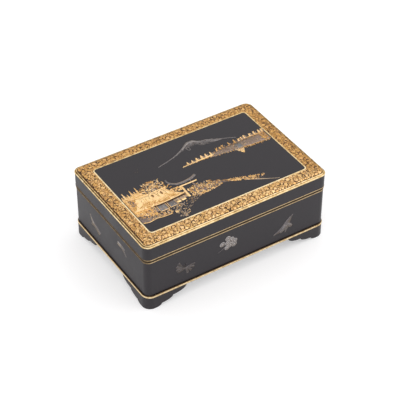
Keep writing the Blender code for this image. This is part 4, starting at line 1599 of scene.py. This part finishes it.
def spit():
    """Three stretches of leaves, mauve and then gold, the bare line of the tip and small upright ticks."""
    foliage(45, (2.0, 9.5), SPIT_LOW, SPIT_TOP, 1.5, 0.5, -0.4, 0.2, (0.0, 0.5))
    foliage(150, (8.0, 24.5), SPIT_LOW, SPIT_TOP, 1.3, 0.36, -0.45, 0.85, (0.3, 1.0))
    foliage(26, (23.5, 31.0), SPIT_LOW, SPIT_TOP, 0.9, 0.4, 0.2, 0.8, (0.3, 0.9))
    line = smooth_path([(17.5, -22.2), (21.5, -24.3), (26, -26.8), (30.5, -29.3), (35.3, -31.6)], 40)
    width = np.linspace(0.55, 0.3, 40) + 0.5 * np.exp(-((np.linspace(0, 1, 40) - 0.45) ** 2) / 0.02)
    lay("mauve", strokes(line[None], width[None], on_lid, 0.95, 0.05))
    x = rng.uniform(10, 27, 40)
    feet = at(x, level_at(x, SPIT_TOP) - 0.2)
    ticks = straight(feet, feet + at(rng.uniform(-0.2, 0.3, 40), rng.uniform(0.5, 1.2, 40)))
    lay("gold", strokes(ticks, tapering(40, 0.28, 0.08), on_lid, rng.uniform(0.4, 1, 40), 0.07))


bushes()
spit()
print_scraps()

# %% Lower left: trees and shore
TREES_TOP = [(-52.8, -15.2), (-46, -15.6), (-42.0, -15.4), (-40.4, -17.5)]
TREES_LOW = [(-52.8, -24.4), (-47, -24.8), (-42, -23.8), (-40.4, -23.6)]
GROUND_TOP = [(-42, -20.6), (-37, -21.2), (-33, -21.6)]
GROUND_LOW = [(-42, -24.0), (-37, -24.4), (-33, -25.0)]


def lower_left():
    """A mauve plate in shade with a gold one above it, leaves on both, and a bright line along the shore."""
    x = np.linspace(PICTURE_LEFT, -40.8, 13)
    low, upper = level_at(x, TREES_LOW) + 0.5, level_at(x, TREES_TOP)
    shaded = np.interp(x, (PICTURE_LEFT, -49.0, -45.0, -40.8), (-17.2, -18.8, -20.4, -22.6))
    shaded = shaded + 0.5 * np.sin(x * 2.3)
    lay("mauve", strip(x, low, np.maximum(shaded, low + 0.2), on_lid, 0.3))
    lay("gold", strip(x, np.maximum(shaded, low + 0.2) - 0.1, upper, on_lid, 0.5, 0.03))
    edge = list(zip(x, shaded))
    foliage(90, (-52.2, -41.0), TREES_LOW, edge, 1.2, 0.55, 0.9, 0.3, (0.0, 0.9))
    foliage(110, (-52.2, -41.0), edge, TREES_TOP, 1.2, 0.55, 0.9, 0.75, (0.2, 1.0))
    foliage(64, (-42, -33), GROUND_LOW, GROUND_TOP, 1.2, 0.5, 0.1, 0.5, (0.2, 1.0))
    shore = smooth_path([(-52.7, -23.9), (-49, -24.9), (-44, -24.2), (-40, -24.9), (-34.2, -25.2)], 30)[None]
    lay("gold", strokes(shore, 0.5, on_lid, 0.85, 0.11))


# %% The ringed shrub
SEED_HEAD, FLOWER_AT, STEMS_FOOT = (-27.2, -21.4), (-31.2, -25.3), (-27.6, -31.6)
STEM_TIPS = [(-27.2, -22.9), (-30.6, -24.6), (-25.0, -24.8), (-29.6, -27.4), (-25.6, -27.8), (-31.4, -29.6)]
SHRUB_LOW = [(-31.8, -29.5), (-27.5, -31.6), (-23.2, -27.0)]
SHRUB_TOP = [(-31.8, -21.5), (-27.5, -19.6), (-23.2, -20.6)]
TWIGS_LOW = [(-23.5, -26.6), (-16, -22.4), (-10.8, -19.8)]
TWIGS_TOP = [(-23.5, -20.2), (-16, -18.8), (-10.8, -17.9)]


def ringed_shrub():
    """A round seed head as a ring, thin stems, many small leaves and one flower of five petals."""
    ring = SEED_HEAD + 1.5 * unit(np.linspace(0, 2 * np.pi * 23 / 24, 24))
    lay("mauve", strokes(ring[None], 0.42, on_lid, 0.9, 0.15))
    lay("gold", dabs([SEED_HEAD], 1.1, 1.1, 0.0, on_lid, 0.6, 8, 0.13))
    count = len(STEM_TIPS)
    stems = straight(np.tile(STEMS_FOOT, (count, 1)), STEM_TIPS, rng.uniform(-0.2, 0.2, count), 7)
    lay("mauve", strokes(stems, tapering(count, 0.3, 0.15, 7), on_lid, 0.8, 0.10))
    foliage(95, (-31.7, -23.3), SHRUB_LOW, SHRUB_TOP, 0.9, 0.4, 0.7, 0.2, (0.6, 1.1), (0.07, 0.13))
    angle = np.arange(5) * 2 * np.pi / 5
    lay("gold", dabs(FLOWER_AT + 0.62 * unit(angle), 0.95, 0.7, angle, on_lid, 0.95, 8, 0.15))


def shrub_twigs(count):
    """A loose trail of leaves to the right of the shrub, with thin bowed twigs."""
    foliage(48, (-23.4, -11.0), TWIGS_LOW, TWIGS_TOP, 0.95, 0.34, 0.5, 0.35, (0.3, 0.9))
    starts = thrown_between(count, (-23, -13), TWIGS_LOW, TWIGS_TOP)
    ends = starts + at(rng.uniform(1.2, 3.0, count), rng.uniform(0.2, 1.6, count))
    lay("mauve", strokes(straight(starts, ends, 0.15), tapering(count, 0.26, 0.1), on_lid, 0.7, 0.12))


lower_left()
ringed_shrub()
shrub_twigs(14)
lay("silver", dabs([(-33.6, 17.6), (-32.4, 17.0), (-31.0, 19.4)], 1.5, 0.6, 0.8, on_lid, -0.2, 8, 0.02, 0.01))
foil("picture_gold", picture["gold"], gold_foil)
foil("picture_mauve", picture["mauve"], mauve_foil)
foil("picture_silver", picture["silver"], silver_foil)
foil("picture_blue_silver", picture["blue"], blue_foil)
foil("picture_lines", picture["dark"], cut_and_shade_brown)

# %% [markdown]
# ## Butterflies on the walls
# Every wall carries a few butterflies and moths in dull silver. A wing is a petal that starts narrow at the
# body: along = length / 2 * (1 - cos(angle)), across = width / 2 * sin(angle) * |sin(angle / 2)|^point.
# Four wings, a body and two feelers make the insect, and the numbers alone tell a round-winged one from a
# pointed one. Those on the front and on the left wall have irregular outlines, so they are cut as tapered
# feathers from one joint or, for the moth in the middle, as overlapping round lobes.

# %% Wings
WING_SIDES = 20


def stacked(count):
    """Lifts that let each wing lie over the one before."""
    return 0.03 + 0.012 * np.arange(count)


def wings(joint, turns, lengths, widths, points, place, tones, lift=0.04):
    """Petal-shaped wings that all start at one joint."""
    angle = np.linspace(0, 2 * np.pi, WING_SIDES, endpoint=False)[None]
    lengths, widths, points = (np.asarray(values, float)[:, None] for values in (lengths, widths, points))
    along = lengths / 2 * (1 - np.cos(angle))
    across = widths / 2 * np.sin(angle) * np.abs(np.sin(angle / 2)) ** points
    cosine, sine = np.cos(turns)[:, None], np.sin(turns)[:, None]
    outline = at(along * cosine - across * sine, along * sine + across * cosine) + joint
    middle = at(lengths * 0.6 * cosine, lengths * 0.6 * sine)[:, 0] + joint
    return discs(outline, middle, place, tones, lift, 0.05, 0.0, 0.8), middle


def insect(place, centre, heading, wing_list, body, feelers, spots=0.0, tone=0.5):
    """The wing list holds (turn in degrees, length, width, point) for each wing. The heading turns it all."""
    turn = np.radians(heading)
    turns, lengths, widths, points = np.asarray(wing_list, float).T
    turns = np.radians(turns) + turn
    centre = np.asarray(centre, float)
    lifts = stacked(len(turns))
    tones = tone + rng.uniform(-0.12, 0.12, len(turns))
    scraps, middle = wings(centre, turns, lengths, widths, points, place, tones, lifts)
    ahead = unit(turn)
    found = [scraps, strokes(straight([centre - ahead * body * 0.5], [centre + ahead * body * 0.5]),
                             np.array([[0.3, 0.75, 0.9, 0.7, 0.3]]), place, tone + 0.2, 0.09)]
    for side, length in feelers:
        out = unit(turn + side)
        start = centre + ahead * body * 0.45
        feeler = straight([start], [start + out * length], 0.12, 7)
        found.append(strokes(feeler, 0.22, place, tone + 0.1, 0.05))
    for aside in (-0.3, 0.05, 0.38):
        directions = unit(turns + aside)
        reach = directions * lengths[:, None]
        veins = straight(centre + reach * 0.25, centre + reach * 0.85, 0.08, 6)
        found.append(strokes(veins, 0.2, place, tone - 0.6, lifts + 0.045))
    if spots:
        found.append(dabs(middle, spots, spots, 0.0, place, tone + 0.45, 10, lifts + 0.05))
        found.append(dabs(middle, spots * 0.5, spots * 0.5, 0.0, place, tone - 0.4, 8, lifts + 0.09))
    return found


def feathered(place, centre, feathers, tone):
    """Insects cut as tapered feathers from one joint, each with a dark vein along its middle. A feather is
    (turn in degrees, length, width at the joint, width at the tip)."""
    turns, lengths, first, last = np.asarray(feathers, float).T
    directions = unit(np.radians(turns))
    starts = np.tile(np.asarray(centre, float), (len(turns), 1))
    paths = straight(starts, starts + directions * lengths[:, None], 0.06, 9)
    lifts = stacked(len(turns))
    tones = tone + rng.uniform(-0.14, 0.14, len(turns))
    scraps = strokes(paths, tapering(len(turns), first, last, 9), place, tones, lifts)
    return [scraps, strokes(paths[:, 2:8], 0.2, place, tone - 0.5, lifts + 0.05)]


def ringed_moth(place, centre, lobes, tone):
    """Overlapping round lobes, each a disc with a dark ring and a light middle, and a thin tail."""
    spots = np.asarray(centre, float) + lobes
    lifts = stacked(len(lobes))
    found = [dabs(spots, 3.8, 3.3, 0.5, place, tone, 14, lifts)]
    found.append(dabs(spots, 2.5, 2.0, 0.5, place, tone - 0.7, 12, lifts + 0.05))
    found.append(dabs(spots, 1.7, 1.3, 0.5, place, tone + 0.1, 10, lifts + 0.1))
    tail = straight([centre], [np.add(centre, (-6.3, -3.4))], 0.06, 9)
    return found + [strokes(tail, tapering(1, 0.5, 0.2, 9), place, tone - 0.5, 0.03)]


# %% Butterflies
front, left = on_wall((1, 0, 0), (0, -1, 0)), on_wall((0, -1, 0), (-1, 0, 0))
back, right = on_wall((-1, 0, 0), (0, 1, 0)), on_wall((0, 1, 0), (1, 0, 0))

FOLDED = [(60, 5.4, 3.4, 0.8), (112, 5.2, 3.8, 0.6), (-38, 7.2, 3.2, 0.7), (-92, 4.6, 3.4, 0.6)]
ROUND = [(42, 6.0, 4.6, 0.5), (-42, 6.0, 4.6, 0.5), (118, 5.2, 4.2, 0.5), (-118, 5.2, 4.2, 0.5)]
POINTED = [(78, 8.2, 2.7, 0.9), (-88, 8.4, 2.9, 0.9), (140, 4.4, 2.4, 0.5), (-150, 4.2, 2.2, 0.5)]
FANNED = [(127, 7.2, 0.8, 1.8), (146, 6.8, 0.8, 1.9), (166, 6.0, 0.8, 1.8), (188, 5.2, 0.8, 1.6)]
FANNED += [(8, 6.8, 0.9, 1.0), (-10, 6.2, 0.8, 1.7), (-36, 5.2, 0.8, 1.8), (-68, 4.6, 0.8, 1.6)]
FANNED += [(72, 3.6, 0.3, 0.2), (95, 3.4, 0.3, 0.2)]
SWALLOW = [(204, 10.2, 5.2, 0.4), (56, 8.0, 5.2, 0.3), (-31, 4.6, 4.4, 1.8), (262, 5.4, 3.0, 0.3)]
SWALLOW += [(222, 6.0, 4.0, 1.4)]
STREAKED = [(128, 7.0, 3.2, 0.8), (-23, 7.5, 2.8, 3.4), (203, 3.6, 2.2, 0.8)]
BENT = [(178, 3.4, 2.8, 2.6), (-12, 4.4, 2.8, 2.2), (-33, 7.6, 2.2, 0.9)]
LOBES = np.array([(-3.0, 1.7), (0.3, -1.9), (5.1, -1.4), (5.4, 1.1), (3.3, 3.0), (0.8, 4.7),
                  (2.4, -0.8), (0.6, 1.4)])


def butterflies():
    """Those on the front and left walls stand in their real places. Those on the other two are guessed."""
    found = feathered(front, (-36.4, 20.4), FANNED, 0.34)
    found += ringed_moth(front, (-8.0, 24.4), LOBES, 0.95)
    found += feathered(front, (34.2, 20.0), SWALLOW, 0.52)
    found += feathered(left, (-18.4, 21.4), STREAKED, 0.62)
    found += feathered(left, (13.2, 28.6), BENT, 0.72)
    found += insect(back, (-30.0, 21.0), 70, POINTED, 3.6, [(0.5, 2.2), (-0.5, 2.2)], 0.0, 0.45)
    found += insect(back, (26.0, 25.0), 105, ROUND, 4.0, [(0.35, 3.0), (-0.35, 3.0)], 1.4, 0.50)
    found += insect(right, (2.0, 22.5), 95, FOLDED, 3.4, [(-0.8, 4.0), (0.3, 3.0)], 0.0, 0.45)
    return foil("wall_butterflies", found, silver_foil)


butterflies()

# %% Finish and sizes
boxes = {"cad": cad_box, "visual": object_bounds()}
{name: [list(corner) for corner in corners] for name, corners in boxes.items()}
